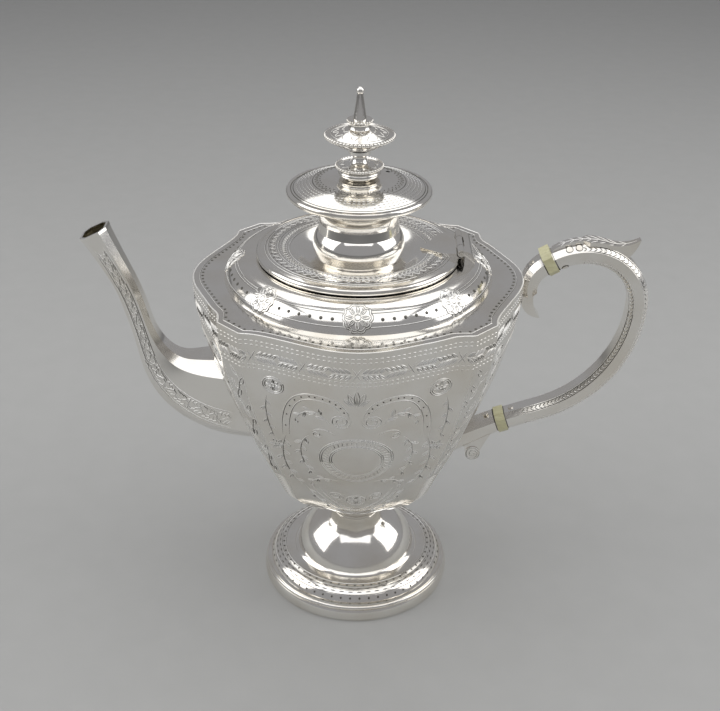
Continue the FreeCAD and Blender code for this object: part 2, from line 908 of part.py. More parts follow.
def handle_bar(inset):
    """The handle's bar from the lower insulator to the upper one, drawn in by an inset."""
    wide = handle_half_wide - inset
    high = handle_half_high - inset
    bevel = handle_bevel - inset * bevel_shrink
    here = forward(handle_start, handle_heading, handle_straight)
    heading = handle_heading
    bar = Part.Face(octagon(handle_start, heading, wide, high, bevel)).extrude(here - handle_start)
    arcs = (
        (handle_back_radius, handle_back_turn),
        (handle_crown_radius, handle_crown_turn),
        (handle_front_radius, handle_front_turn),
    )
    for radius, turn in arcs:
        there, middle = arc_end(here, heading, radius, turn)
        section = Part.Face(octagon(here, heading, wide, high, bevel))
        bar = bar.fuse(section.revolve(middle, -axis_across, turn))
        here = there
        heading += turn
    return bar.removeSplitter(), here, heading


def hollow_length(end, heading, inset, length, curve_radius):
    """The handle's section drawn in by an inset, taken on a heading or round a right-hand curve."""
    section = Part.Face(octagon(
        end,
        heading,
        handle_half_wide - inset,
        handle_half_high - inset,
        handle_bevel - inset * bevel_shrink,
    ))
    if not curve_radius:
        return section.extrude(forward(origin, heading, length))
    middle = forward(end, heading - 90, curve_radius)
    return section.revolve(middle, axis_across, math.degrees(length / curve_radius))


def make_insulator(end, heading, curve_radius, socket_curve_radius, rise):
    """A plate between socket and handle, with a tongue into each; heading points into the handle.
    The plate stands up above the handle by the rise."""
    section = octagon(
        forward(end, heading + 90, rise / 2),
        heading,
        handle_half_wide + insulator_lip,
        handle_half_high + insulator_lip + rise / 2,
        handle_bevel,
    )
    plate = Part.Face(section).extrude(forward(origin, heading, -insulator_thickness))
    foot = forward(end, heading, -insulator_thickness)
    inset = handle_wall + slip_fit
    tongue = hollow_length(foot, heading, inset, -socket_spigot_length, socket_curve_radius)
    return plate.fuse([hollow_length(end, heading, inset, spigot_length, curve_radius), tongue])


def socket_bore(end, heading, curve_radius):
    """The hollow in a socket that takes the insulator's tongue."""
    foot = forward(end, heading, -insulator_thickness)
    return hollow_length(foot, heading, handle_wall, -socket_spigot_length - slip_fit, curve_radius)


def pin_at(place, along, half, grow):
    """A rivet with a low head at each end; grow widens it for the hole that it goes through."""
    shank = rod(handle_pin_radius + grow, place - along * half, place + along * half)
    heads = []
    for side in (-1, 1):
        seat = place + along * (half * side)
        heads.append(rod(handle_pin_head + grow, seat, seat + along * (handle_pin_head_height * side)))
    return shank.fuse(heads)


def socket_pin_half(foot, root_drop, root_half):
    """Half the length of a pin through a socket, at the pin's setback from the socket's end."""
    root = point(body_side_x(root_drop) - socket_sink, rim_z - root_drop)
    share = pin_setback / (root - foot).Length
    return handle_half_high + (root_half - handle_half_high) * share


def bent_horn(end, heading):
    """A horn that goes on from an insulator in the handle's curve and into the body's side."""
    start = forward(end, heading, -insulator_thickness)
    sections = []
    for i in range(horn_section_count):
        share = i / (horn_section_count - 1)
        place = arc_end(start, heading + 180, horn_radius, horn_turn * share)[0]
        wide = handle_half_wide + (upper_root_half_wide - handle_half_wide) * share
        high = handle_half_high + (upper_root_half_high - handle_half_high) * share
        sections.append(octagon(place, heading + horn_turn * share, wide, high, handle_bevel))
    return Part.makeLoft(sections, True, False)


def straight_horn(end, heading, root_drop, half_wide, half_high):
    """A straight horn from the body's side to an insulator."""
    root = point(body_side_x(root_drop) - socket_sink, rim_z - root_drop)
    foot = octagon(root, 0.0, half_wide, half_high, handle_bevel)
    face = octagon(
        forward(end, heading, -insulator_thickness),
        heading,
        handle_half_wide,
        handle_half_high,
        handle_bevel,
    )
    return Part.makeLoft([foot, face], True, True)


def make_socket(horn, bore, body, ornament):
    """A socket from its horn and its scroll, fitted to the body and bored for the insulator."""
    return horn.fuse(ornament).cut(body).cut(bore)


def scroll(half_width, *steps):
    """A flat scroll in the XZ plane, as thick as twice its half width."""
    face = Part.Face(path(*steps, steps[0]))
    plate = face.extrude(axis_across * (half_width * 2))
    plate.translate(axis_across * -half_width)
    return plate


def make_handle(body):
    bar, upper_end, upper_out = handle_bar(0.0)
    hollow = handle_bar(handle_wall)[0]
    upper_heading = upper_out - 180.0
    upper = make_insulator(
        upper_end, upper_heading, handle_front_radius, horn_radius, upper_insulator_rise
    )
    lower = make_insulator(handle_start, handle_heading, 0.0, 0.0, 0.0)

    tail_x = body_side_x(upper_root_drop) + tail_out
    tail_z = rim_z - upper_root_drop
    tail = scroll(
        tail_half_width,
        (tail_x - tail_root_in, tail_z + tail_root_rise),
        ((tail_x, tail_z - tail_bow_drop), (tail_x + tail_width, tail_z - tail_drop)),
        (
            (tail_x + tail_crook_out, tail_z - tail_crook_drop),
            (tail_x + tail_top_out, tail_z + tail_top_rise),
        ),
    )
    volute_x = body_side_x(lower_root_drop) + volute_out
    volute_z = rim_z - lower_root_drop - volute_drop
    curl = across_rod(volute_radius, volute_x, volute_z, -volute_half_length, volute_half_length)
    strap = scroll(
        volute_half_length - strap_setback,
        (volute_x - volute_radius, volute_z),
        (volute_x - strap_lean, volute_z + strap_height),
        (volute_x + strap_width, volute_z + strap_height),
        (
            (volute_x + strap_cove_out, volute_z + strap_cove_rise),
            (volute_x + strap_tuck_out, volute_z - strap_tuck_drop),
        ),
    )
    upper_horn = bent_horn(upper_end, upper_heading)
    upper_bore = socket_bore(upper_end, upper_heading, horn_radius)
    upper_socket = make_socket(upper_horn, upper_bore, body, tail)
    lower_horn = straight_horn(
        handle_start, handle_heading, lower_root_drop, lower_root_half_wide, lower_root_half_high
    )
    lower_bore = socket_bore(handle_start, handle_heading, 0.0)
    lower_socket = make_socket(lower_horn, lower_bore, body, strap.fuse(curl))

    upper_middle = forward(upper_end, upper_heading - 90, handle_front_radius)
    upper_foot = forward(upper_end, upper_heading, -insulator_thickness)
    lower_foot = forward(handle_start, handle_heading, -insulator_thickness)
    lower_rise = forward(origin, handle_heading + 90, 1.0)
    upper_pins = []
    bevel_half = (handle_half_wide + handle_half_high - handle_bevel) / math.sqrt(2) - bevel_pin_sink
    for step, side in ((-1, 1), (0, -1), (1, -1)):
        turn = math.degrees((upper_pin_setback + pin_spacing * step) / handle_front_radius)
        rise = forward(origin, upper_heading + 90 - turn, 1.0)
        along = (rise + axis_across * side) / math.sqrt(2)
        upper_pins.append((upper_middle + rise * handle_front_radius, along, bevel_half))
    turn = math.degrees(pin_setback / horn_radius)
    place = arc_end(upper_foot, upper_heading + 180, horn_radius, turn)[0]
    half = handle_half_high + (upper_root_half_high - handle_half_high) * turn / horn_turn
    upper_pins.append((place, forward(origin, upper_heading + turn + 90, 1.0), half))
    half = socket_pin_half(lower_foot, lower_root_drop, lower_root_half_high)
    lower_pins = [(forward(lower_foot, handle_heading, -pin_setback), lower_rise, half)]
    lower_pins.append((forward(handle_start, handle_heading, pin_setback), lower_rise, handle_half_high))

    pieces = {
        "upper_socket": upper_socket,
        "lower_socket": lower_socket,
        "upper_insulator": upper,
        "lower_insulator": lower,
        "handle_grip": bar.cut(hollow),
    }
    holes = [pin_at(*pin, running_fit) for pin in upper_pins + lower_pins]
    for name in pieces:
        pieces[name] = pieces[name].cut(holes)
    pieces["upper_pins"] = Part.makeCompound([pin_at(*pin, 0.0) for pin in upper_pins])
    pieces["lower_pins"] = Part.makeCompound([pin_at(*pin, 0.0) for pin in lower_pins])
    return pieces


def make_thumb_leaf():
    """A leaf lying on the handle's crown, its tip turned up at the back."""
    here = forward(handle_start, handle_heading, handle_straight)
    heading = handle_heading
    here = arc_end(here, heading, handle_back_radius, handle_back_turn)[0]
    crown, middle = arc_end(here, 90.0, handle_crown_radius, handle_crown_turn)
    bed = handle_crown_radius + handle_half_high
    front_middle = forward(crown, -90.0, handle_front_radius)
    front_bed = handle_front_radius + handle_half_high

    def on(centre, radius, angle):
        place = forward(centre, angle, radius)
        return (place.x, place.z)

    top = leaf_thickness
    back = leaf_lift_angle
    plate = scroll(
        leaf_half_width,
        on(front_middle, front_bed, leaf_front_angle),
        (on(front_middle, front_bed, (leaf_front_angle + 90) / 2), on(middle, bed, 90.0)),
        (on(middle, bed, (back + 90) / 2), on(middle, bed, back)),
        (on(middle, bed + leaf_back_rise, back), on(middle, bed + leaf_tip_rise, leaf_tip_angle)),
        (on(middle, bed + leaf_curl_rise, leaf_curl_angle), on(middle, bed + top, leaf_seat_angle)),
        (on(middle, bed + top, leaf_top_angle), on(middle, bed + top, 90.0)),
        (
            on(front_middle, front_bed + top, (leaf_front_angle + 90) / 2),
            on(front_middle, front_bed + leaf_front_thickness, leaf_front_angle),
        ),
    )
    tip = on(middle, bed + leaf_tip_rise, leaf_lift_angle)[0]
    start = plate.BoundBox.XMin - cut_past
    plan = []
    for x, half in (
        (start, leaf_front_half_width),
        (crown.x - leaf_spread, leaf_front_half_width),
        (crown.x, leaf_half_width),
        (tip, leaf_tip_half_width),
    ):
        plan.append(FreeCAD.Vector(x, half, 0))
    plan += [FreeCAD.Vector(v.x, -v.y, 0) for v in reversed(plan)]
    outline_face = Part.Face(Part.makePolygon(plan + plan[:1]))
    return plate.common(outline_face.extrude(axis_up * (plate.BoundBox.ZMax + cut_past)))


# The assembly

body_volume = body_solid(0.0, 0.0, 0.0)
lid_plate = make_lid_plate()
shoulder_volume = shoulder_solid(0.0)

parts = {
    "foot_rim": make_foot_rim(),
    "pedestal_foot": make_pedestal_foot(),
    "stem_collar": make_stem_collar(),
    "body_shell": make_body_shell(body_volume),
    "shoulder": make_shoulder(shoulder_volume),
    "mouth_collar": make_mouth_collar(),
    "lid_plate": lid_plate,
    "lid_rim_wire": make_lid_rim_wire(),
    "lid_bezel": make_lid_bezel(lid_plate),
    "lid_neck": make_lid_neck(),
    "canopy_rim_wire": make_canopy_rim_wire(),
    "lid_canopy": make_lid_canopy(),
    "thumb_leaf": make_thumb_leaf(),
}
parts.update(make_finial())
parts.update(make_finial_fixing())
parts.update(make_hinge(shoulder_volume))
parts.update(make_spout(body_volume))
parts.update(make_handle(body_volume.fuse(shoulder_volume)))

for name, shape in parts.items():
    shape.exportStep("parts/" + name + ".step")
    print(name, len(shape.Solids), shape.isValid(), round(shape.Volume / 1000, 2))
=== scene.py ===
import json
import math

import bpy
from mathutils import Matrix, Vector
from mathutils.bvhtree import BVHTree

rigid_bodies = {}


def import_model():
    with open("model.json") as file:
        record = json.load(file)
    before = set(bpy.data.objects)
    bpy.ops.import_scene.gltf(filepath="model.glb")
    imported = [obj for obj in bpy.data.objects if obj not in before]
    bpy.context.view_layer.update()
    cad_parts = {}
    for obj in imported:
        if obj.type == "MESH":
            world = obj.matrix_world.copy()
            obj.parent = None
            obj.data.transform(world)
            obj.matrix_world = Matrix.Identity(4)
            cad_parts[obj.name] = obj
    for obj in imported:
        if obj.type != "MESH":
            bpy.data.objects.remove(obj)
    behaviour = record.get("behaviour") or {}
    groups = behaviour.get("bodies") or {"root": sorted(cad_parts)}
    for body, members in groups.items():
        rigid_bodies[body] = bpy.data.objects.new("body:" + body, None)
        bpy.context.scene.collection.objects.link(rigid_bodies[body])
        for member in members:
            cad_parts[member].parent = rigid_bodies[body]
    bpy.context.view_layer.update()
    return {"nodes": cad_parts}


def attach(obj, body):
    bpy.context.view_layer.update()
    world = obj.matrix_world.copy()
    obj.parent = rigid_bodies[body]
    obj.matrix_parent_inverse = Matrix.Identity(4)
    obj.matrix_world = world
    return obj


for spare in list(bpy.data.objects):
    bpy.data.objects.remove(spare)
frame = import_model()


# Foot rim: the moulded ring that the pot stands on, drawn silver wire bent round and soldered
# to the foot. It is wiped along its length, so its fine marks run round it.
solids = frame["nodes"]
mm = 0.001


def new_finish(name, metallic):
    """A new material with one shader, of metal or not."""
    finish = bpy.data.materials.new(name)
    finish.use_nodes = True
    finish.node_tree.nodes["Principled BSDF"].inputs["Metallic"].default_value = metallic
    return finish


def add_node(finish, kind, values=None):
    """A new node of a finish, with the values of its inputs."""
    node = finish.node_tree.nodes.new("ShaderNode" + kind)
    for name, value in (values or {}).items():
        node.inputs[name].default_value = value
    return node


def feed(finish, source, node, entry, goal):
    """Leads a source through a node to an input of the shader."""
    links = finish.node_tree.links
    links.new(source, node.inputs[entry])
    links.new(node.outputs[0], finish.node_tree.nodes["Principled BSDF"].inputs[goal])


def own_places(finish):
    """The places of a surface in the frame of its own piece."""
    return add_node(finish, "TexCoord").outputs["Object"]


def mottle(finish, places, scale, detail):
    """Uneven patches over a surface."""
    noise = add_node(finish, "TexNoise", {"Scale": scale, "Detail": detail})
    finish.node_tree.links.new(places, noise.inputs["Vector"])
    return noise.outputs["Fac"]


def tone_by(finish, patches, low, high, ends=(0.0, 1.0)):
    """Runs the colour from one tone to another over the patches."""
    ramp = add_node(finish, "ValToRGB")
    for stop, end, tone in zip(ramp.color_ramp.elements, ends, (low, high)):
        stop.position = end
        stop.color = (*tone, 1.0)
    feed(finish, patches, ramp, "Fac", "Base Color")


def gloss_by(finish, patches, low, high, ends=(0.0, 1.0)):
    """Runs the roughness from one value to another over the patches."""
    values = {"From Min": ends[0], "From Max": ends[1], "To Min": low, "To Max": high}
    feed(finish, patches, add_node(finish, "MapRange", values), "Value", "Roughness")


def relief_by(finish, patches, strength, depth):
    """Roughens the surface by the patches, to a depth in mm."""
    bump = add_node(finish, "Bump", {"Strength": strength, "Distance": depth * mm})
    feed(finish, patches, bump, "Height", "Normal")


def polished_metal(name, tone, tarnish, gloss, haze, turned=False, metallic=1.0):
    """Metal polished by hand: cloudy patches of haze, warmer where it tarnishes, and fine marks,
    which run round the axis of a turned piece."""
    finish = new_finish(name, metallic)
    links = finish.node_tree.links
    places = own_places(finish)
    wiped = places
    if turned:
        split = add_node(finish, "SeparateXYZ")
        links.new(places, split.inputs[0])
        plan = add_node(finish, "CombineXYZ")
        links.new(split.outputs["X"], plan.inputs["X"])
        links.new(split.outputs["Y"], plan.inputs["Y"])
        radius = add_node(finish, "VectorMath")
        radius.operation = "LENGTH"
        links.new(plan.outputs[0], radius.inputs[0])
        lathe = add_node(finish, "CombineXYZ")
        links.new(radius.outputs["Value"], lathe.inputs["X"])
        links.new(split.outputs["Z"], lathe.inputs["Z"])
        wiped = lathe.outputs[0]
    cloud = mottle(finish, places, scale=46.0, detail=5.0)
    marks = mottle(finish, wiped, scale=1700.0, detail=3.0)
    blend = add_node(finish, "Mix", {"Factor": 0.4})
    links.new(cloud, blend.inputs[2])
    links.new(marks, blend.inputs[3])
    gloss_by(finish, blend.outputs[0], gloss, haze, ends=(0.36, 0.66))
    tone_by(finish, cloud, tone, tarnish, ends=(0.40, 0.72))
    relief_by(finish, marks, strength=0.12, depth=0.01)
    return finish


def finish_solid(finish, *names):
    """Gives some solids their finish."""
    for name in names:
        solids[name].data.materials.clear()
        solids[name].data.materials.append(finish)


clean_tone = (0.90, 0.88, 0.84)
turned_silver = polished_metal(
    "turned_silver", clean_tone, (0.80, 0.76, 0.69), gloss=0.07, haze=0.18, turned=True,
)
finish_solid(turned_silver, "foot_rim")


# Pedestal foot: spun from sheet silver, with a rounded border, a ridge and a plain dome. The
# border is chased with two rows of dots and two rows of dashes between them.
overhead = 215
sunk = 0.06 * mm
foot_mark_count = 58
foot_dash_share = 0.62
# The cuts are coloured with painted highlight and painted shade. A near-white silver paints the
# highlight on the flank of a cut that faces the highlight's direction. A near-black silver paints the
# shade on the other flank, in the dark cuts and on the punched dots.
painted_highlight_cut = polished_metal(
    "painted_highlight_cut", (0.95, 0.94, 0.91), (0.88, 0.85, 0.79), gloss=0.24, haze=0.42, metallic=0.5,
)
painted_shade_cut = polished_metal(
    "painted_shade_cut", (0.13, 0.125, 0.11), (0.08, 0.075, 0.06), gloss=0.30, haze=0.50, metallic=0.6,
)
# The first pair paints a highlight on one flank of a cut and shade on the other; the second paints
# shade on both flanks.
engraved = (painted_highlight_cut, painted_shade_cut)
painted_shade_flanks = (painted_shade_cut, painted_shade_cut)


def surface_of(*names):
    """The faces of some solids as one surface that engraving is laid on."""
    corners = []
    faces = []
    for name in names:
        first = len(corners)
        mesh = solids[name].data
        corners += [corner.co.copy() for corner in mesh.vertices]
        faces += [[first + i for i in face.vertices] for face in mesh.polygons]
    return BVHTree.FromPolygons(corners, faces)


def meet(surface, start, heading):
    """Where a straight line first meets a surface, and which way the surface faces there. A
    surface that the line only grazes isn't met."""
    grazing = 0.05
    place, facing, _, _ = surface.ray_cast(start, heading)
    if place is None or facing.dot(heading) > -grazing:
        return None
    return place, facing


def dropped(surface, x, y, over=overhead):
    """The place on a surface below a point that is over it, at a height in mm."""
    return meet(surface, Vector((x, y, over * mm)), Vector((0, 0, -1)))


def as_piece(name, body, corners, faces, finishes, smooth, sides=None):
    """A new piece of the object from its corners and faces, riding on one of the two bodies."""
    mesh = bpy.data.meshes.new(name)
    mesh.from_pydata(corners, [], faces)
    for finish in finishes:
        mesh.materials.append(finish)
    if sides:
        mesh.polygons.foreach_set("material_index", sides)
    if smooth:
        mesh.shade_smooth()
    mesh.update()
    piece = bpy.data.objects.new(name, mesh)
    bpy.context.scene.collection.objects.link(piece)
    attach(piece, body)
    return piece


def cut_lines(name, body, strokes, width, rise, finishes=engraved):
    """Engraved strokes that follow their surface and taper to their ends, each a fine burr of a width
    and rise in mm. Its flanks are coloured as painted highlight and painted shade: the flank that faces
    a set direction takes the first finish, and the other flank, the base and the end caps take the
    second."""
    # The direction that the painted highlight comes from.
    painted_light_way = Vector((-0.35, -0.40, 0.85))
    same_place = 0.02 * mm
    end_share = 0.25
    taper_pace = 3.0
    taper_steps = 20
    corners = []
    faces = []
    sides = []
    for stroke in strokes:
        stroke = [step for step in stroke if step]
        if len(stroke) < 3:
            continue
        loop = (stroke[0][0] - stroke[-1][0]).length < same_place
        if loop:
            stroke = stroke[:-1]
        count = len(stroke)
        first = len(corners)
        for i, (place, facing) in enumerate(stroke):
            ahead = stroke[(i + 1) % count][0] if loop or i + 1 < count else place
            behind = stroke[i - 1][0] if loop or i > 0 else place
            along = (ahead - behind).normalized()
            side = facing.cross(along).normalized()
            taper = end_share + taper_pace * min(i, count - 1 - i) / min(count, taper_steps)
            full = 1.0 if loop else min(1.0, taper)
            half = side * (width * mm / 2 * full)
            low = place - facing * sunk
            corners += [low + half, place + facing * (rise * mm * full), low - half]
        spans = count if loop else count - 1
        for i in range(spans):
            a = first + 3 * i
            b = first + 3 * ((i + 1) % count)
            faces += [(a, a + 1, b + 1, b), (a + 1, a + 2, b + 2, b + 1), (a + 2, a, b, b + 2)]
            painted_flank_index = 0 if (corners[a] - corners[a + 2]).dot(painted_light_way) > 0 else 1
            sides += [painted_flank_index, 1 - painted_flank_index, 1]
        if not loop:
            end = first + 3 * (count - 1)
            faces += [(first, first + 2, first + 1), (end, end + 1, end + 2)]
            sides += [1, 1]
    return as_piece(name, body, corners, faces, finishes, False, sides)


def punch_marks(name, body, places, radius, rise, sides=8):
    """Round dots of the punch, each a low closed dome on its surface, coloured near black as painted
    shade of the punched hollow.
    """
    crown_wide = 0.72
    crown_high = 0.7
    corners = []
    faces = []
    for step in places:
        if not step:
            continue
        place, facing = step
        first = len(corners)
        across = facing.orthogonal().normalized()
        other = facing.cross(across)
        for share, up in ((1.0, -sunk), (crown_wide, rise * mm * crown_high)):
            for k in range(sides):
                turn = 2 * math.pi * k / sides
                out = across * math.cos(turn) + other * math.sin(turn)
                corners.append(place + out * (radius * mm * share) + facing * up)
        corners.append(place + facing * (rise * mm))
        faces.append([first + k for k in reversed(range(sides))])
        for k in range(sides):
            n = (k + 1) % sides
            faces.append((first + k, first + n, first + sides + n, first + sides + k))
            faces.append((first + sides + k, first + sides + n, first + 2 * sides))
    return as_piece(name, body, corners, faces, [painted_shade_cut], True)


def ring_dots(surface, radius, count, shift=0.0, over=overhead):
    """Places spaced evenly on a ring about the pot's axis, its radius in mm."""
    turns = [2 * math.pi * (i + shift) / count for i in range(count)]
    out = radius * mm
    return [dropped(surface, out * math.cos(turn), out * math.sin(turn), over) for turn in turns]


def ring_cuts(surface, radii, count=1, share=1.0, wave=0.0, waves=0, over=overhead):
    """Cuts along rings about the pot's axis, their radii in mm: closed lines, wavy or not, or
    dashes that fill a share of their pitch."""
    cut_step = 0.8 * mm
    steps_per_wave = 10
    pitch = 2 * math.pi / count
    strokes = []
    for radius in radii:
        least = int(pitch * share * radius * mm / cut_step)
        steps = max(4, least, steps_per_wave * waves // count)
        for i in range(count):
            stroke = []
            for k in range(steps + 1):
                turn = pitch * (i + share * (k / steps - 0.5))
                out = radius * mm + wave * mm * math.cos(waves * turn)
                stroke.append(dropped(surface, out * math.cos(turn), out * math.sin(turn), over))
            strokes.append(stroke)
    return strokes


finish_solid(turned_silver, "pedestal_foot")
foot_top = surface_of("pedestal_foot")
foot_dashes = ring_cuts(foot_top, (40.4, 38.9), foot_mark_count, foot_dash_share)
foot_lines = ring_cuts(foot_top, (41.4, 38.0, 36.0))
foot_dots = ring_dots(foot_top, 42.5, foot_mark_count)
foot_dots += ring_dots(foot_top, 37.0, foot_mark_count, shift=0.5)
# The dashes are coloured near black on both flanks, and the dots too, as painted shade; the plain lines
# carry a painted highlight on one flank and painted shade on the other.
cut_lines("foot_border_dashes", "pot", foot_dashes, width=0.7, rise=0.14, finishes=painted_shade_flanks)
cut_lines("foot_border_lines", "pot", foot_lines, width=0.5, rise=0.12)
punch_marks("foot_border_dots", "pot", foot_dots, radius=0.62, rise=0.16)


# Stem collar: a turned bead that hides the joint of the foot and the body, of cast silver
# soldered above and below.
finish_solid(turned_silver, "stem_collar")


# Body: an eight-lobed urn raised from sheet silver, with a broad panel front and back, one at each side
# and a narrow facet on each corner. All of it is bright-cut by hand with a leaf band under the rim,
# scrolls, roundels, sprays and a bare round shield. Its faces that look inwards are coloured a dark
# brown.
body_middle = 105 * mm
body_clear = 130 * mm
panel_stretch = 1.034
panel_lean = 0.00097


def darken_inward_faces(name, inward):
    """Gives a dark brown to the faces of a hollow solid that look inwards."""
    mesh = solids[name].data
    mesh.materials.append(inward_dark_brown)
    for face in mesh.polygons:
        if inward(face.center, face.normal):
            face.material_index = 1


def into_body(at, facing):
    """Whether a face of the body looks towards its middle."""
    return facing.dot(at - Vector((0, 0, body_middle))) < 0


def bent(a, b, c, d, steps=18):
    """A smooth line from a to d, drawn towards b and c."""
    line = []
    for i in range(steps + 1):
        t = i / steps
        s = 1 - t
        w = (s ** 3, 3 * s * s * t, 3 * s * t * t, t ** 3)
        line.append(tuple(w[0] * p + w[1] * q + w[2] * r + w[3] * u for p, q, r, u in zip(a, b, c, d)))
    return line


def bent_twice(*points):
    """A smooth line of two bends through the first, the fourth and the last of seven points."""
    return bent(*points[:4]) + bent(*points[3:])


def curl(x, y, inner, outer, turns, start, hand=1):
    """A volute that opens from its inner to its outer radius."""
    steps_per_turn = 20
    steps = int(steps_per_turn * turns)
    line = []
    for i in range(steps + 1):
        share = i / steps
        turn = math.radians(start) + hand * 2 * math.pi * turns * share
        r = inner + (outer - inner) * share
        line.append((x + r * math.cos(turn), y + r * math.sin(turn)))
    return line


def round_line(x, y, radius, steps=40):
    """A closed circle."""
    turns = [2 * math.pi * i / steps for i in range(steps + 1)]
    return [(x + radius * math.cos(turn), y + radius * math.sin(turn)) for turn in turns]


def leaf_cuts(base, tip, belly):
    """The two edges and the vein of an engraved leaf, its belly a share of its length."""
    along = (tip[0] - base[0], tip[1] - base[1])
    cross = (-along[1] * belly, along[0] * belly)

    def beside(share, out):
        return tuple(base[i] + along[i] * share + out * cross[i] for i in (0, 1))

    edges = [bent(base, beside(0.3, hand), beside(0.8, hand * 0.6), tip, 8) for hand in (-1, 1)]
    return edges + [[beside(share, 0.0) for share in (0.1, 0.3, 0.5, 0.7)]]


def spray_cuts(stem, length, every=3, lean=42.0):
    """A stem with leaves set on both sides of it by turns, shorter towards its end."""
    shrink = 0.35
    cuts = [stem]
    hand = 1
    for i in range(every, len(stem) - 1, every):
        ahead = math.atan2(stem[i + 1][1] - stem[i - 1][1], stem[i + 1][0] - stem[i - 1][0])
        turn = ahead + hand * math.radians(lean)
        size = length * (1.0 - shrink * i / len(stem))
        tip = (stem[i][0] + size * math.cos(turn), stem[i][1] + size * math.sin(turn))
        cuts += leaf_cuts(stem[i], tip, belly=0.24)
        hand = -hand
    return cuts


def flower_cuts(x, y, radius, petals):
    """An open flower seen from above: leaf-shaped petals round a small ring."""
    eye = radius * 0.24
    petal_root = radius * 0.28
    cuts = [round_line(x, y, eye, 14)]
    for i in range(petals):
        turn = 2 * math.pi * i / petals
        root = (x + petal_root * math.cos(turn), y + petal_root * math.sin(turn))
        tip = (x + radius * math.cos(turn), y + radius * math.sin(turn))
        cuts += leaf_cuts(root, tip, belly=0.30)
    return cuts


def mirrored(cuts):
    """A drawing with its mirror image across the middle of a panel."""
    return cuts + [[(-x, y) for x, y in cut] for cut in cuts]


def lay_cuts(lay, cuts):
    """A flat drawing laid on a surface."""
    return [[lay(x, y) for x, y in cut] for cut in cuts]


def round_body(turn, drop):
    """A place on the body at an angle about its axis, a drop in mm below its rim."""
    out = Vector((math.cos(turn), math.sin(turn), 0))
    return meet(body_surface, out * body_clear + Vector((0, 0, body_top - drop * mm)), -out)


def on_panel(turn):
    """Lays a flat drawing on the panel that faces one way, by mm across and down the panel. The
    panel leans in towards its foot, so a length down it falls a little less the lower it is."""
    out = Vector((math.cos(turn), math.sin(turn), 0))
    across = Vector((-math.sin(turn), math.cos(turn), 0))

    def lay(x, y):
        drop = y * (panel_stretch - panel_lean * y)
        start = out * body_clear + across * (x * mm) + Vector((0, 0, body_top - drop * mm))
        return meet(body_surface, start, -out)
    return lay


body_silver = polished_metal("body_silver", clean_tone, (0.82, 0.78, 0.71), gloss=0.10, haze=0.20)
inward_dark_brown = new_finish("inward_dark_brown", metallic=0.75)
inward_patches = mottle(inward_dark_brown, own_places(inward_dark_brown), scale=90.0, detail=6.0)
tone_by(inward_dark_brown, inward_patches, (0.055, 0.045, 0.022), (0.20, 0.17, 0.10), ends=(0.3, 0.75))
gloss_by(inward_dark_brown, inward_patches, 0.62, 0.38)
relief_by(inward_dark_brown, inward_patches, strength=0.3, depth=0.05)
finish_solid(body_silver, "body_shell")
darken_inward_faces("body_shell", into_body)
body_surface = surface_of("body_shell")
body_top = max(corner.co.z for corner in solids["body_shell"].data.vertices)
front, right, back, left = (math.radians(angle) for angle in (-90, 0, 90, 180))


# Rim band of the body: laurel tied by crosses, between two pairs of dashed lines. It is bright-cut
# in the silver all round, with its pitch measured along the lobed wall to keep the leaves even.
band_steps = 720
band_measure_drop = 9.0
band_drop = 9.2
tie_count = 20
tie_half_wide = 1.9
tie_half_high = 3.0
laurel_leaves = 4
laurel_first = 2.2
laurel_pitch = 2.3
laurel_reach = 2.9
laurel_root = 0.3
laurel_stem = (1.6, 4.6, 7.6, 10.8)
dash_count = 200
dash_share = 0.62
dash_drops = (1.5, 3.4, 13.3, 15.3)
band_ring = []
for i in range(band_steps + 1):
    band_ring.append(round_body(2 * math.pi * i / band_steps + front, band_measure_drop))
band_length = [0.0]
for before, after in zip(band_ring, band_ring[1:]):
    band_length.append(band_length[-1] + (after[0] - before[0]).length / mm)


def on_band(run, drop):
    """A place on the rim band, by its run in mm round the body from the middle of the front."""
    run = run % band_length[-1]
    low = 0
    high = band_steps
    while high - low > 1:
        middle = (low + high) // 2
        if band_length[middle] <= run:
            low = middle
        else:
            high = middle
    share = (run - band_length[low]) / (band_length[high] - band_length[low])
    return round_body(front + 2 * math.pi * (low + share) / band_steps, drop)


band_cuts = []
for i in range(tie_count):
    middle = i * band_length[-1] / tie_count
    for slope in (-1, 1):
        cross = [(t * tie_half_wide, slope * t * tie_half_high) for t in (-1, -0.5, 0, 0.5, 1)]
        band_cuts.append([(middle + x, band_drop + y) for x, y in cross])
        for k in range(laurel_leaves):
            stalk = middle + slope * (laurel_first + laurel_pitch * k)
            for lean in (-1, 1):
                root = (stalk, band_drop + laurel_root * lean)
                tip = (stalk + slope * laurel_reach, band_drop + lean * laurel_reach)
                band_cuts += leaf_cuts(root, tip, belly=0.20)
        band_cuts.append([(middle + slope * run, band_drop) for run in laurel_stem])
cut_lines("rim_band_leaves", "pot", lay_cuts(on_band, band_cuts), width=0.66, rise=0.24)
dash_pitch = band_length[-1] / dash_count
dashes = []
for drop in dash_drops:
    for i in range(dash_count):
        dashes.append([(dash_pitch * (i + dash_share * t), drop) for t in (0, 0.33, 0.67, 1.0)])
cut_lines("rim_band_dashes", "pot", lay_cuts(on_band, dashes), width=0.66, rise=0.22)


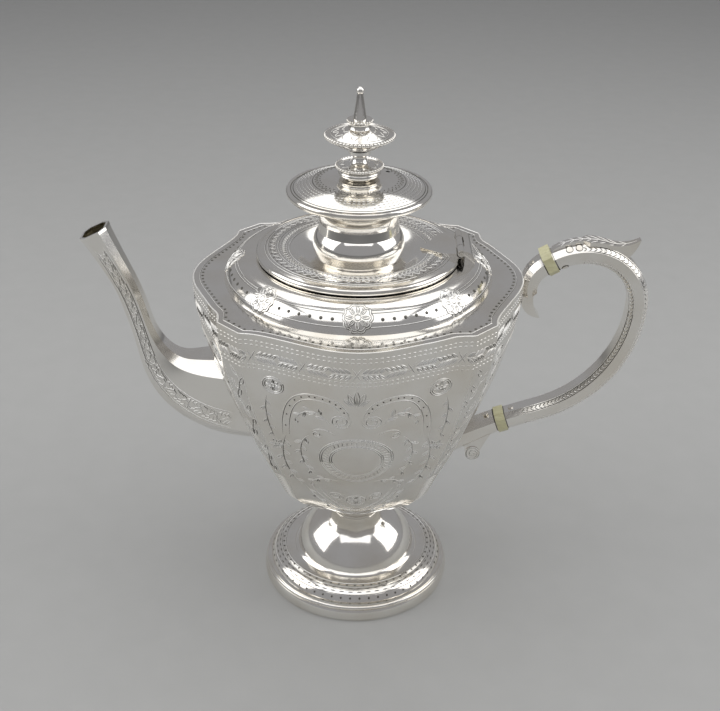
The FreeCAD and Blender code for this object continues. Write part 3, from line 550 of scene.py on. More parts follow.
# Front and back panels of the body: arches with a dotted band, roundels, sprays and a bare round
# shield, bright-cut in the silver. Half of the drawing is given, and the other half mirrors it.
roundel = (35.6, 22.6)
shield_drop = 63.2
shield_rings = (16.3, 15.4, 11.9, 11.0)
shield_cut_count = 40
low_flower_drop = 97.7
arch_outer = bent_twice(
    (3.0, 33.5), (4.0, 24.5), (11.0, 21.6), (18.8, 22.4), (27.5, 23.2), (33.4, 31.5), (32.4, 53.0),
)
arch_middle = bent_twice(
    (4.6, 32.0), (6.0, 25.6), (11.6, 23.0), (18.7, 23.8), (26.4, 24.6), (31.6, 32.2), (30.9, 52.4),
)
arch_inner = bent_twice(
    (6.4, 30.4), (8.0, 26.6), (12.4, 24.6), (18.6, 25.2), (25.2, 26.0), (29.8, 33.0), (29.4, 52.0),
)
half_panel = [arch_outer, arch_inner, curl(6.8, 35.5, 0.9, 4.6, 2.0, -170)]
half_panel += [round_line(*roundel, radius, 30) for radius in (4.6, 3.7)]
half_panel += flower_cuts(*roundel, 3.2, 8)
half_panel += leaf_cuts((0.6, 25.6), (3.7, 18.8), belly=0.22)
half_panel += leaf_cuts((0.9, 26.0), (5.4, 22.2), belly=0.20)
half_panel.append(bent((9.4, 44.6), (12.8, 41.4), (18.4, 42.2), (19.2, 46.4)))
half_panel.append(curl(17.0, 46.6, 0.5, 2.2, 1.5, 0))
half_panel += flower_cuts(35.3, 61.2, 3.6, 6)
half_panel += spray_cuts(bent((31.0, 53.0), (34.8, 66.0), (33.0, 80.0), (25.0, 92.5), 30), 5.6)
half_panel += spray_cuts(bent((11.6, 38.6), (15.0, 31.0), (22.5, 29.5), (27.0, 41.0), 22), 4.6)
half_panel += spray_cuts(bent((20.6, 49.0), (26.5, 55.0), (26.0, 70.0), (19.0, 79.5), 26), 4.8)
half_panel += spray_cuts(bent((38.6, 29.0), (40.4, 36.0), (39.4, 46.0), (36.4, 56.0), 20), 3.8)
half_panel += spray_cuts(bent((8.0, 80.6), (14.0, 80.0), (19.5, 83.0), (21.0, 90.0), 16), 4.0)
half_panel.append(curl(9.2, 95.4, 0.7, 3.6, 1.75, 20, -1))
half_panel.append(bent((20.4, 90.5), (17.6, 99.5), (9.0, 106.5), (0.3, 110.6)))
half_panel.append(bent((17.0, 91.0), (14.8, 98.5), (8.0, 103.6), (0.3, 107.4)))
half_panel += spray_cuts(bent((23.0, 93.0), (20.5, 100.0), (14.0, 107.0), (5.0, 112.0), 18), 3.2)
middle_panel = leaf_cuts((0.0, 26.4), (0.0, 17.2), belly=0.20)
middle_panel += [round_line(0.0, shield_drop, radius, 80) for radius in shield_rings]
middle_panel += flower_cuts(0.0, low_flower_drop, 3.6, 8)
middle_panel.append(round_line(0.0, low_flower_drop, 4.3, 30))
for i in range(shield_cut_count):
    turn = 2 * math.pi * i / shield_cut_count
    c, s = math.cos(turn), math.sin(turn)
    slant = ((12.5, -0.5), (13.6, 0.1), (14.8, 0.7))
    middle_panel.append([(c * out - s * run, shield_drop + s * out + c * run) for out, run in slant])
broad_drawing = mirrored(half_panel) + middle_panel
arch_dots = mirrored([arch_middle[2::3]])
for side, turn in (("front", front), ("back", back)):
    scrolls = lay_cuts(on_panel(turn), broad_drawing)
    dots = sum(lay_cuts(on_panel(turn), arch_dots), [])
    cut_lines(side + "_panel_scrolls", "pot", scrolls, width=0.74, rise=0.25)
    punch_marks(side + "_panel_dots", "pot", dots, radius=0.5, rise=0.12)


# Side panels of the body: sprays and roundels bright-cut in the silver, kept clear of the spout's
# root and the handle's sockets, which are soldered on there.
side_roundel = (30.0, 23.0)
side_cuts = [round_line(*side_roundel, radius, 30) for radius in (4.4, 3.5)]
side_cuts += flower_cuts(*side_roundel, 3.0, 8)
side_cuts += spray_cuts(bent((23.0, 24.0), (27.0, 36.0), (29.0, 60.0), (24.0, 88.0), 34), 5.4)
side_cuts += spray_cuts(bent((33.6, 32.0), (35.0, 44.0), (34.0, 60.0), (30.0, 76.0), 28), 4.0)
side_cuts += spray_cuts(bent((22.0, 90.0), (18.0, 99.0), (11.0, 106.0), (3.0, 110.0), 20), 3.8)
side_cuts.append(bent((5.0, 20.0), (11.0, 18.6), (18.0, 20.6), (22.0, 28.0)))
side_cuts.append(curl(8.4, 23.6, 0.6, 3.6, 1.75, -100))
for side, turn in (("spout_side", left), ("handle_side", right)):
    sprays = lay_cuts(on_panel(turn), mirrored(side_cuts))
    cut_lines(side + "_panel_sprays", "pot", sprays, width=0.74, rise=0.25)


# Corner facets of the body: a running leaf stem bright-cut in the silver of each, with ribs at its
# foot and a line along both edges. Its drawing is in shares of the half width and mm from the rim.
facet_turns = (math.atan2(-49.8, 59.6), math.atan2(-59.6, 49.8))
facet_middle = sum(facet_turns) / 2
facet_half = abs(facet_turns[0] - facet_turns[1]) / 2
facet_edge = 0.86
stem_top = 19.0
stem_long = 66
stem_wave = 0.34
stem_wave_long = 22.0
rib_top = 86.0
rib_pitch = 1.6
rib_count = 11
rib_sag = 1.2
leaf_every = 4
facet_leaf_edges = (
    ((0.0, 0.0), (0.36, 0.4), (0.60, -2.6), (0.52, -4.6)),
    ((0.0, 0.0), (0.10, -2.6), (0.40, -4.0), (0.52, -4.6)),
)


def on_facet(middle):
    """Lays a drawing on the corner facet whose middle is at an angle about the pot's axis."""
    def lay(share, drop):
        return round_body(middle + share * facet_half, drop)
    return lay


facet_stem = []
for d in range(stem_long):
    facet_stem.append((stem_wave * math.sin(2 * math.pi * d / stem_wave_long), stem_top + d))
facet_cuts = [facet_stem]
for i in range(3, stem_long - 2, leaf_every):
    x, y = facet_stem[i]
    hand = 1 if (i // leaf_every) % 2 else -1
    for leaf_edge in facet_leaf_edges:
        facet_cuts.append(bent(*[(x + hand * out, y + down) for out, down in leaf_edge], 8))
for i in range(rib_count):
    rib_drop = rib_top + rib_pitch * i
    facet_cuts.append([(t, rib_drop + rib_sag * t * t) for t in (-0.8, -0.4, 0, 0.4, 0.8)])
for hand in (-1, 1):
    facet_cuts.append([(hand * facet_edge, drop) for drop in range(18, 102, 2)])
facet_strokes = []
for half_turn, hand in ((0, 1), (0, -1), (math.pi, 1), (math.pi, -1)):
    facet_strokes += lay_cuts(on_facet(half_turn + hand * facet_middle), facet_cuts)
cut_lines("corner_facet_leaves", "pot", facet_strokes, width=0.7, rise=0.25)


# Shoulder: one sheet raised into a lobed flange and a round drum, soldered to the body's rim.
# Rings of dots and lines are cut round it, with eight chased rosettes on the drum.
rosette_count = 8
rosette_radius = 6.8
rosette_ring = 57.4
rosette_lift = 0.22
rosette_steps = 60
rosette_lobes = 10
lobe_depth = 0.10
rosette_line = 0.96
rosette_inner_line = 0.86
rosette_flower = 0.78
drum_dot_ring = 58.2
dots_between = 6
dot_pitch = 0.108
flange_edge_drop = 1.0
flange_dot_count = 130
flange_steps = 360


def scallop_out(turn):
    """How far a scalloped edge stands out at an angle, as a share of its full radius."""
    return 1.0 - lobe_depth * (1.0 - abs(math.cos(rosette_lobes / 2 * turn)))


def scallop_line(radius):
    """The points of a scalloped edge, once round."""
    line = []
    for k in range(rosette_steps):
        turn = 2 * math.pi * k / rosette_steps
        out = radius * scallop_out(turn)
        line.append((out * math.cos(turn), out * math.sin(turn)))
    return line


def on_rosette(place, facing):
    """Lays a flat drawing in mm on a rosette, which is lifted off the drum."""
    clear = 6 * mm
    across = Vector((-place.y, place.x, 0)).normalized()
    upward = facing.cross(across).normalized()

    def lay(x, y):
        at = place + across * (x * mm) + upward * (y * mm)
        found = meet(shoulder_top, at + facing * clear, -facing)
        return (found[0] if found else at) + facing * (rosette_lift * mm), facing
    return lay


def rosette_pads(name, body, spots, finish):
    """Low scalloped pads, each a closed disc pressed up from its ground."""
    pad_depth = 0.4 * mm
    shares = (0.3, 0.6, 0.85, 1.0)
    count = rosette_steps
    corners = []
    faces = []
    for place, facing in spots:
        lay = on_rosette(place, facing)
        first = len(corners)
        corners.append(place + facing * (rosette_lift * mm))
        for share in shares:
            corners += [lay(x, y)[0] for x, y in scallop_line(rosette_radius * share)]
        edge = first + 1 + (len(shares) - 1) * count
        base = len(corners)
        for k in range(count):
            corners.append(corners[edge + k] - facing * (rosette_lift * mm + pad_depth))
        for k in range(count):
            n = (k + 1) % count
            faces.append((first, first + 1 + k, first + 1 + n))
            for row in range(len(shares) - 1):
                a = first + 1 + row * count
                faces.append((a + k, a + count + k, a + count + n, a + n))
            faces.append((edge + k, base + k, base + n, edge + n))
        faces.append([base + k for k in reversed(range(count))])
    return as_piece(name, body, corners, faces, [finish], False)


def flange_ring(count, inset):
    """Places round the lobed flange, an inset in mm from its edge."""
    places = []
    for i in range(count):
        turn = 2 * math.pi * i / count
        edge = round_body(turn, flange_edge_drop)[0]
        out = math.hypot(edge.x, edge.y) - inset * mm
        places.append(dropped(shoulder_top, out * math.cos(turn), out * math.sin(turn)))
    return places


def flange_loop(inset):
    """A closed line round the lobed flange, an inset in mm from its edge."""
    ring = flange_ring(flange_steps, inset)
    return [ring + ring[:1]]


shoulder_silver = polished_metal(
    "shoulder_silver", (0.91, 0.89, 0.85), (0.82, 0.78, 0.71), gloss=0.08, haze=0.19, turned=True,
)
finish_solid(shoulder_silver, "shoulder")
shoulder_top = surface_of("shoulder")
drum_lines = ring_cuts(shoulder_top, (54.9, 56.0, 59.9))
cut_lines("shoulder_ring_lines", "pot", drum_lines, width=0.6, rise=0.14)
drum_dots = []
for k in range(dots_between):
    beside = 0.5 + (k - (dots_between - 1) / 2) * dot_pitch
    drum_dots += ring_dots(shoulder_top, drum_dot_ring, rosette_count, beside)
punch_marks("shoulder_drum_dots", "pot", drum_dots, radius=0.85, rise=0.26, sides=10)
rosette_spots = ring_dots(shoulder_top, rosette_ring, rosette_count)
rosette_pads("shoulder_rosettes", "pot", rosette_spots, shoulder_silver)
rosette_drawing = flower_cuts(0.0, 0.0, rosette_radius * rosette_flower, 8)
for share in (rosette_line, rosette_line * rosette_inner_line):
    rosette_edge = scallop_line(rosette_radius * share)
    rosette_drawing.append(rosette_edge + rosette_edge[:1])
rosette_cuts = []
for place, facing in rosette_spots:
    rosette_cuts += lay_cuts(on_rosette(place, facing), rosette_drawing)
cut_lines("shoulder_rosette_cuts", "pot", rosette_cuts, width=0.6, rise=0.14)
flange_dots = flange_ring(flange_dot_count, inset=4.6)
punch_marks("flange_border_dots", "pot", flange_dots, radius=0.72, rise=0.2)
cut_lines("flange_border_line", "pot", flange_loop(inset=3.4), width=0.5, rise=0.12)
# A painted highlight along the flange's edge: a line of the near-white cut finish on both flanks.
cut_lines(
    "flange_edge_painted_highlight", "pot", flange_loop(inset=0.4),
    width=0.9, rise=0.16, finishes=(painted_highlight_cut, painted_highlight_cut),
)


# Mouth collar: a plain turned ring of silver that the lid's bezel drops into. It is soldered in
# the mouth, on the inside of the shoulder's drum.
finish_solid(turned_silver, "mouth_collar")


# Spout: two struck halves of eight-sided section soldered along the middle, with a wire round the
# mouth. A band of leaves is cut along the low part of each side; the inside is coloured a dark brown.
spout_route = [(-54.95, 103.4), (-91.0, 117.6), (-104.0, 151.6), (-118.6, 185.1)]
spout_headings = [(-0.990, 0.139), (-0.672, 0.741), (-0.289, 0.957), (-0.438, 0.899)]
swell_share = 0.57
spout_half_deep = 5.1
spout_half_wide = 5.2
swell_deep = 15.3
swell_wide = 9.8
spout_chamfer = 0.45
band_half = 2.1
band_swell = 2.2
band_low = 0.92
spout_clear = 4
spout_steps = 120
edge_steps = range(3, 114)
vine_steps = range(4, 112)
vine_wave = 0.34
vine_pace = 0.9
spout_leaf_steps = range(4, 111, 2)
spout_leaf = ((0.0, 0.1), (0.5, 0.55), (1.0, 0.72), (1.4, 0.45))
spout_leaf_long = 1.6
spout_line = []
for k in range(len(spout_route) - 1):
    (ax, az), (bx, bz) = spout_route[k:k + 2]
    (ap, aq), (bp, bq) = spout_headings[k:k + 2]
    third = math.dist((ax, az), (bx, bz)) / 3
    near = (ax + ap * third, az + aq * third)
    far = (bx - bp * third, bz - bq * third)
    span = bent((ax, az), near, far, (bx, bz), 24)
    spout_line += span if not spout_line else span[1:]
spout_runs = [0.0]
for a, b in zip(spout_line, spout_line[1:]):
    spout_runs.append(spout_runs[-1] + math.dist(a, b))
spout_middles = [Vector((x * mm, 0, z * mm)) for x, z in spout_line]


def swell_at(share):
    """How much of its swell at the root the spout still has, a share of the way up it."""
    return math.cos(math.pi / 2 * min(share / swell_share, 1.0)) ** 2


def into_spout(at, facing):
    """Whether a face of the spout looks towards its middle line."""
    nearest = min(spout_middles, key=lambda middle: (middle - at).length_squared)
    return facing.dot(at - nearest) < 0


def on_spout(share, across, hand):
    """A place on the band along a spout's side: its share of the way up, and its place across."""
    i = min(range(len(spout_line)), key=lambda k: abs(spout_runs[k] / spout_runs[-1] - share))
    i = min(max(i, 1), len(spout_line) - 2)
    (x, z), (past_x, past_z), (next_x, next_z) = spout_line[i], spout_line[i - 1], spout_line[i + 1]
    ahead = Vector((next_x - past_x, next_z - past_z)).normalized()
    below = Vector((-ahead.y, 0, ahead.x))
    deep = spout_half_deep + swell_deep * swell_at(share)
    wide = spout_half_wide + swell_wide * swell_at(share)
    flat = deep - spout_chamfer * min(wide, deep)
    half = band_half + band_swell * swell_at(share)
    aside = Vector((0, hand, 0))
    at = Vector((x, 0, z)) + below * (flat * band_low - half + half * across)
    return meet(spout_surface, (at + aside * (wide + spout_clear)) * mm, -aside)


finish_solid(body_silver, "spout_front_half", "spout_back_half")
spout_wire = polished_metal(
    "spout_wire", (0.93, 0.91, 0.87), (0.86, 0.82, 0.75), gloss=0.08, haze=0.18,
)
finish_solid(spout_wire, "spout_lip")
darken_inward_faces("spout_front_half", into_spout)
darken_inward_faces("spout_back_half", into_spout)
spout_surface = surface_of("spout_front_half", "spout_back_half")
spout_cuts = []
for hand in (-1, 1):
    for edge in (-1.0, 1.0):
        spout_cuts.append([on_spout(i / spout_steps, edge, hand) for i in edge_steps])
    vine = [(i / spout_steps, vine_wave * math.sin(i * vine_pace)) for i in vine_steps]
    spout_cuts.append([on_spout(share, across, hand) for share, across in vine])
    for i in spout_leaf_steps:
        for slope in (-1, 1):
            leaf = [((i + spout_leaf_long * t) / spout_steps, slope * out) for t, out in spout_leaf]
            spout_cuts.append([on_spout(share, across, hand) for share, across in leaf])
cut_lines("spout_leaf_bands", "pot", spout_cuts, width=0.7, rise=0.22)


# Handle sockets: two cast silver sockets soldered to the body, the lower one with a curled tail.
# The handle's ends sit in them behind insulating plates.
volute_rise = 3.6
volute_clear = 20 * mm
volute_drawing = [curl(0.0, 0.0, 0.5, 3.1, 1.9, 100, -1), round_line(0.0, 0.0, 3.3, 30)]
finish_solid(body_silver, "upper_socket", "lower_socket")
volute_surface = surface_of("lower_socket")
volute_low = min(solids["lower_socket"].data.vertices, key=lambda corner: corner.co.z).co


def on_volute(hand):
    """Lays a flat drawing in mm on one end of the roll under the lower socket."""
    def lay(x, y):
        up = volute_low.z + (volute_rise + y) * mm
        start = Vector((volute_low.x + x * mm, hand * volute_clear, up))
        return meet(volute_surface, start, Vector((0, -hand, 0)))
    return lay


volute_cuts = lay_cuts(on_volute(-1), volute_drawing) + lay_cuts(on_volute(1), volute_drawing)
cut_lines("socket_volute_cuts", "pot", volute_cuts, width=0.6, rise=0.16)


# Insulators: thin plates of bone between the sockets and the handle, which keep the heat of the pot
# from the hand. They have yellowed, and a dark line is drawn along their joints.
bar_low_end = (72.3, 90.0)
bar_low_heading = 19.4
bar_high_end = (89.1, 174.4)
bar_high_heading = 29.4
bar_half_wide = 5.6
bar_half_high = 4.5
bar_chamfer = 2.4
joint_steps = (0.35, -4.95)
bone = new_finish("yellowed_bone", metallic=0.0)
bone_run = add_node(bone, "Mapping", {"Scale": (0.25, 1.0, 1.0)})
bone.node_tree.links.new(own_places(bone), bone_run.inputs["Vector"])
bone_grain = mottle(bone, bone_run.outputs[0], scale=900.0, detail=5.0)
tone_by(bone, bone_grain, (0.60, 0.57, 0.34), (0.72, 0.70, 0.46), ends=(0.3, 0.7))
gloss_by(bone, bone_grain, 0.28, 0.48)
relief_by(bone, bone_grain, strength=0.25, depth=0.03)
finish_solid(bone, "upper_insulator", "lower_insulator")


def joint_line(end, heading, step):
    """The dark joint of a plate and a bar: a closed line round the bar's eight sides, a step in mm
    along the bar from its end."""
    angle = math.radians(heading)
    along = Vector((math.cos(angle), 0, math.sin(angle)))
    up = Vector((-math.sin(angle), 0, math.cos(angle)))
    across = Vector((0, 1, 0))
    middle = Vector((end[0], 0, end[1])) + along * step
    wide, high = bar_half_wide, bar_half_high
    flat_wide, flat_high = wide - bar_chamfer, high - bar_chamfer
    ring = [(flat_wide, high), (-flat_wide, high), (-wide, flat_high), (-wide, -flat_high)]
    ring += [(-w, -h) for w, h in ring]
    line = []
    for (w, h), (next_w, next_h) in zip(ring, ring[1:] + ring[:1]):
        for share in (0.0, 0.34, 0.67):
            out = across * (w + (next_w - w) * share) + up * (h + (next_h - h) * share)
            line.append(((middle + out) * mm, out.normalized()))
    return line + line[:1]


joint_lines = [joint_line(bar_high_end, bar_high_heading, step) for step in joint_steps]
joint_lines += [joint_line(bar_low_end, bar_low_heading, step) for step in joint_steps]
cut_lines("insulator_joints", "pot", joint_lines, width=0.7, rise=0.12, finishes=painted_shade_flanks)


# Handle: a hollow eight-sided bar of silver, bent to an ear shape and soldered along its inner
# side. A border of leaves is cut on its chamfers, from the straight run to past the crown.
bar_straight = 17.3
bar_bends = [(60.6, 70.6), (25.4, 90.0), (29.9, 29.4)]
bar_length = bar_straight + sum(radius * math.radians(turn) for radius, turn in bar_bends)
chamfer_aside = 4.4
chamfer_edge = 3.3
bar_clear = 5
border_first = 8
border_step = 1.2
border_spare = 20
border_half = 1.25
bar_leaf_first = 9.0
bar_leaf_spare = 14
bar_leaf_pitch = 2.1
bar_leaf_long = 1.5


def bar_at(run):
    """The middle of the handle's bar and its inner side, a run in mm along it from the lower end."""
    place = Vector((bar_low_end[0], 0, bar_low_end[1]))
    heading = math.radians(bar_low_heading)
    ahead = min(run, bar_straight)
    place += Vector((math.cos(heading), 0, math.sin(heading))) * ahead
    run -= ahead
    for radius, turn in bar_bends:
        part = min(run, radius * math.radians(turn))
        if part <= 0:
            break
        inner = Vector((-math.sin(heading), 0, math.cos(heading)))
        centre = place + inner * radius
        heading += part / radius
        place = centre - Vector((-math.sin(heading), 0, math.cos(heading))) * radius
        run -= part
    return place, Vector((-math.sin(heading), 0, math.cos(heading)))


def on_bar(hand, way):
    """Lays a drawing on one chamfer of the handle, by mm along the bar and across the chamfer."""
    aside = Vector((0, hand, 0))

    def lay(run, across):
        middle, inner = bar_at(run)
        edge = inner * way
        outward = (aside + edge).normalized()
        at = middle + aside * chamfer_aside + edge * chamfer_edge
        at += (aside - edge).normalized() * across
        return meet(handle_surface, (at + outward * bar_clear) * mm, -outward)
    return lay


finish_solid(body_silver, "handle_grip")
handle_surface = surface_of("handle_grip")
border_steps = int((bar_length - border_spare) / border_step)
border_runs = [border_first + border_step * i for i in range(border_steps)]
bar_drawing = [[(run, across) for run in border_runs] for across in (-border_half, border_half)]
run = bar_leaf_first
while run < bar_length - bar_leaf_spare:
    for slope in (-1, 1):
        bar_drawing.append([(run + bar_leaf_long * t, slope * t) for t in (0.0, 0.33, 0.66, 1.0)])
    run += bar_leaf_pitch
handle_cuts = []
for hand in (-1, 1):
    for way in (-1, 1):
        handle_cuts += lay_cuts(on_bar(hand, way), bar_drawing)
cut_lines("handle_leaf_borders", "pot", handle_cuts, width=0.7, rise=0.20)


# Thumb leaf: a cast silver leaf soldered to the crown of the handle as a rest for the thumb,
# with its midrib and side veins cut in.
finish_solid(body_silver, "thumb_leaf")
leaf_surface = surface_of("thumb_leaf")
leaf_runs = [corner.co.x / mm for corner in solids["thumb_leaf"].data.vertices]
leaf_low = min(leaf_runs)
leaf_long = max(leaf_runs) - leaf_low
midrib_from = 0.04
midrib_share = 0.92
midrib_steps = 24
side_veins = 8
vein_from = 0.14
vein_pitch = 0.10
vein_points = ((0.0, 0.2), (-1.2, 1.6), (-3.0, 3.0), (-5.0, 3.9))


def on_leaf(x, y):
    """A place on the thumb leaf, by its place in mm seen from above."""
    return dropped(leaf_surface, x * mm, y * mm)


midrib = []
for i in range(midrib_steps + 1):
    midrib.append((leaf_low + leaf_long * (midrib_from + midrib_share * i / midrib_steps), 0.0))
leaf_veins = [midrib]
for i in range(side_veins):
    root = leaf_low + leaf_long * (vein_from + vein_pitch * i)
    for hand in (-1, 1):
        leaf_veins.append(bent(*[(root + back_by, hand * out) for back_by, out in vein_points], 8))
cut_lines("thumb_leaf_veins", "pot", lay_cuts(on_leaf, leaf_veins), width=0.6, rise=0.14)


# Rivets: silver pins through the sockets, the insulators and the handle's ends, hammered over and filed
# smooth. A dark ring is drawn round the heads of the upper three.
rivet_silver = polished_metal(
    "rivet_silver", (0.84, 0.81, 0.75), (0.66, 0.61, 0.52), gloss=0.16, haze=0.34,
)
finish_solid(rivet_silver, "upper_pins", "lower_pins")
crown_centre = Vector((103.78, 0, 148.35))
crown_radius = 29.9
crown_end = 119.4
rivet_places = ((3.4, 1), (7.3, -1), (11.2, -1))
rivet_half = 5.45
rivet_ring = 1.55
rivet_ring_steps = 20
rivet_rings = []
for step, side in rivet_places:
    angle = math.radians(crown_end) - step / crown_radius
    rise = Vector((math.cos(angle), 0, math.sin(angle)))
    along = (rise + Vector((0, side, 0))).normalized()
    flat = along.orthogonal().normalized()
    other = along.cross(flat)
    for way in (-1, 1):
        head = crown_centre + rise * crown_radius + along * (way * rivet_half)
        ring = []
        for x, y in round_line(0.0, 0.0, rivet_ring, rivet_ring_steps):
            ring.append(((head + flat * x + other * y) * mm, along * way))
        rivet_rings.append(ring)
cut_lines("rivet_rings", "pot", rivet_rings, width=0.6, rise=0.1, finishes=painted_shade_flanks)


# Hinge: two silver leaves with knuckles on a pin, one soldered to the shoulder and one to the
# lid, at the handle's side.
finish_solid(body_silver, "hinge_body_leaf", "hinge_lid_leaf")
finish_solid(rivet_silver, "hinge_pin")


# Lid: a dished and crowned plate with a wire round its edge and a bezel below, of silver. Its
# plate is cut with plain, wavy and dashed rings and a row of dots.
finish_solid(shoulder_silver, "lid_plate")
finish_solid(turned_silver, "lid_rim_wire", "lid_bezel")
lid_top = surface_of("lid_plate")
lid_rings = ring_cuts(lid_top, (31.4, 36.4, 40.9, 42.2))
lid_rings += ring_cuts(lid_top, (33.9,), wave=0.7, waves=96)
lid_rings += ring_cuts(lid_top, (38.6,), wave=0.9, waves=60)
lid_dashes = ring_cuts(lid_top, (32.6, 35.2, 37.4), count=100, share=0.6)
lid_dots = ring_dots(lid_top, 40.0, 60, shift=0.5)
cut_lines("lid_plate_rings", "lid", lid_rings, width=0.55, rise=0.12)
cut_lines("lid_plate_dashes", "lid", lid_dashes, width=0.6, rise=0.12)
punch_marks("lid_plate_dots", "lid", lid_dots, radius=0.5, rise=0.13)


# Lid neck: a waisted tube that carries the canopy, spun from silver. Its foot is soldered to the
# lid's plate, and it flares to the canopy's edge.
finish_solid(turned_silver, "lid_neck")


# Canopy: a low domed cover with a steam hole, spun from silver, its edge stiffened by a wire.
# A scalloped line with dots and several dashed rings are cut on it.
finish_solid(turned_silver, "lid_canopy", "canopy_rim_wire")
canopy_top = surface_of("lid_canopy")
canopy_over = 240
scallop_count = 42
canopy_dash_radii = (22.0, 23.4, 24.8, 26.2, 27.6)
canopy_rings = ring_cuts(canopy_top, (20.6, 29.2, 30.2), over=canopy_over)
canopy_rings += ring_cuts(canopy_top, (18.9,), wave=0.7, waves=scallop_count, over=canopy_over)
canopy_dashes = ring_cuts(canopy_top, canopy_dash_radii, count=76, share=0.7, over=canopy_over)
canopy_dots = ring_dots(canopy_top, 17.4, scallop_count, over=canopy_over)
# The plain and wavy rings are coloured near black on both flanks as painted shade; the dashes carry a
# painted highlight and painted shade.
cut_lines("canopy_rings", "lid", canopy_rings, width=0.55, rise=0.13, finishes=painted_shade_flanks)
cut_lines("canopy_dashes", "lid", canopy_dashes, width=0.6, rise=0.13)
punch_marks("canopy_dots", "lid", canopy_dots, radius=0.42, rise=0.12)


# Finial: turned and cast silver pieces threaded on a stud: a scalloped seat, a beaded dish, a
# stem, a wide petalled disc with a beaded edge, a cup and a spire with a ball.
def bead_ring(name, body, radius, height, count, size):
    """A ring of small round silver beads, sizes in mm, each half sunk in the edge it sits on."""
    rows = 7
    sides = 10
    corners = []
    faces = []
    for i in range(count):
        turn = 2 * math.pi * i / count
        middle = Vector((radius * math.cos(turn), radius * math.sin(turn), height)) * mm
        first = len(corners)
        corners.append(middle + Vector((0, 0, size * mm)))
        for row in range(1, rows):
            tilt = math.pi * row / rows
            for x, y in round_line(0.0, 0.0, math.sin(tilt), sides)[:-1]:
                corners.append(middle + Vector((x, y, math.cos(tilt))) * (size * mm))
        corners.append(middle - Vector((0, 0, size * mm)))
        last = len(corners) - 1
        for k in range(sides):
            n = (k + 1) % sides
            faces.append((first, first + 1 + k, first + 1 + n))
            for row in range(rows - 2):
                a = first + 1 + row * sides
                faces.append((a + k, a + sides + k, a + sides + n, a + n))
            end = first + 1 + (rows - 2) * sides
            faces.append((end + k, last, end + n))
    return as_piece(name, body, corners, faces, [turned_silver], True)


for piece in ("base", "dish", "stem", "disc", "cup", "spire"):
    finish_solid(turned_silver, "finial_" + piece)
disc_top = surface_of("finial_disc")
dish_top = surface_of("finial_dish")
bead_ring("finial_disc_beads", "lid", radius=14.9, height=232.0, count=56, size=0.80)
bead_ring("finial_dish_beads", "lid", radius=10.2, height=218.4, count=44, size=0.68)
bead_ring("finial_cup_beads", "lid", radius=5.3, height=238.5, count=26, size=0.58)
finial_over = 260
finial_cuts = ring_cuts(disc_top, (12.4,), over=finial_over)
finial_cuts += ring_cuts(disc_top, (10.4,), wave=1.2, waves=14, over=finial_over)
finial_cuts += ring_cuts(disc_top, (7.2,), wave=0.5, waves=14, over=finial_over)
finial_cuts += ring_cuts(dish_top, (7.6,), wave=0.8, waves=12, over=finial_over)
cut_lines("finial_scallops", "lid", finial_cuts, width=0.5, rise=0.12)


# Stud, washer and nut: the finial's fastening, turned from brass and left from the tool, browned
# unevenly. It is drawn up under the canopy, out of sight.
finial_brass = polished_metal(
    "finial_brass", (0.72, 0.56, 0.30), (0.50, 0.36, 0.17), gloss=0.22, haze=0.42, turned=True,
)
finish_solid(finial_brass, "finial_stud", "finial_washer", "finial_nut")


# Table: a wide flat top that the pot stands on, covered with pale matt paper. The paper has a
# faint mottle of its own, and lies a hair below the foot.
table_reach = 6.0
table_gap = 0.02 * mm
table_paper = new_finish("table_paper", metallic=0.0)
paper_patches = mottle(table_paper, own_places(table_paper), scale=60.0, detail=4.0)
tone_by(table_paper, paper_patches, (0.40, 0.40, 0.39), (0.43, 0.43, 0.42))
table_paper.node_tree.nodes["Principled BSDF"].inputs["Roughness"].default_value = 0.8
table_corners = [(x * table_reach, y * table_reach, 0) for x, y in ((-1, -1), (1, -1), (1, 1), (-1, 1))]
table_mesh = bpy.data.meshes.new("table_top")
table_mesh.from_pydata(table_corners, [], [(0, 1, 2, 3)])
table_mesh.materials.append(table_paper)
table_top = bpy.data.objects.new("table_top", table_mesh)
table_top.location.z = -table_gap
bpy.context.scene.collection.objects.link(table_top)


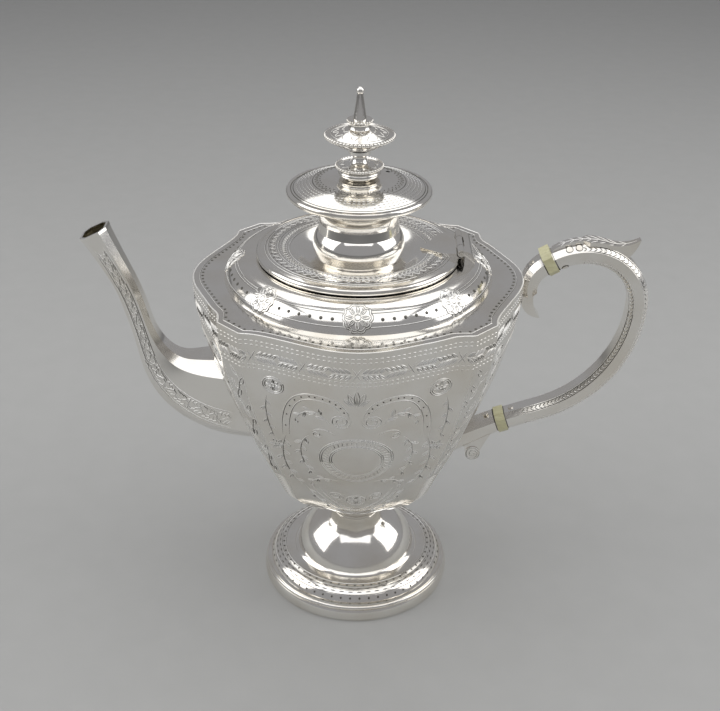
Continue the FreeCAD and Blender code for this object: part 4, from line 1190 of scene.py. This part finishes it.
# Studio: four soft panels, one at each side, one high behind and one high in front, with a low
# sky all round. The camera is at the photograph's place, above the lid and looking down at it.
panel_aim = Vector((0, 0, 0.16))
camera_place = Vector((1.17, -499.8, 397.7)) * mm
camera_pitch = math.radians(28.76)
camera_roll = math.radians(0.66)


def soft_panel(name, place, wide, high, power):
    """A large lamp with a soft edge, turned to the pot."""
    lamp = bpy.data.lights.new(name, "AREA")
    lamp.shape = "RECTANGLE"
    lamp.size = wide
    lamp.size_y = high
    lamp.energy = power
    panel = bpy.data.objects.new(name, lamp)
    panel.location = place
    panel.rotation_euler = (panel_aim - Vector(place)).to_track_quat("-Z", "Y").to_euler()
    bpy.context.scene.collection.objects.link(panel)


soft_panel("left_panel", (-1.00, -0.10, 0.70), wide=0.9, high=1.0, power=4.9)
soft_panel("right_panel", (1.00, -0.05, 0.70), wide=0.9, high=1.0, power=4.9)
soft_panel("top_panel", (0.0, 0.52, 1.15), wide=1.2, high=0.7, power=3.2)
soft_panel("front_panel", (0.0, -0.42, 1.25), wide=1.5, high=1.1, power=5.2)
sky = bpy.data.worlds.new("studio_sky")
sky.use_nodes = True
sky.node_tree.nodes["Background"].inputs["Color"].default_value = (0.30, 0.30, 0.31, 1.0)
sky.node_tree.nodes["Background"].inputs["Strength"].default_value = 1.0
bpy.context.scene.world = sky
sight = Vector((0, math.cos(camera_pitch), -math.sin(camera_pitch)))
level = Vector((1, 0, 0))
upright = Vector((0, math.sin(camera_pitch), math.cos(camera_pitch)))
rolled = level * math.cos(camera_roll) + upright * math.sin(camera_roll)
tall = upright * math.cos(camera_roll) - level * math.sin(camera_roll)
lens = bpy.data.cameras.new("camera")
lens.sensor_width = 36.0
lens.lens = 60.0
camera = bpy.data.objects.new("camera", lens)
turned_axes = Matrix((rolled, tall, -sight)).transposed()
camera.matrix_world = Matrix.Translation(camera_place) @ turned_axes.to_4x4()
bpy.context.scene.collection.objects.link(camera)
bpy.context.scene.camera = camera
bpy.context.scene.view_settings.view_transform = "Standard"
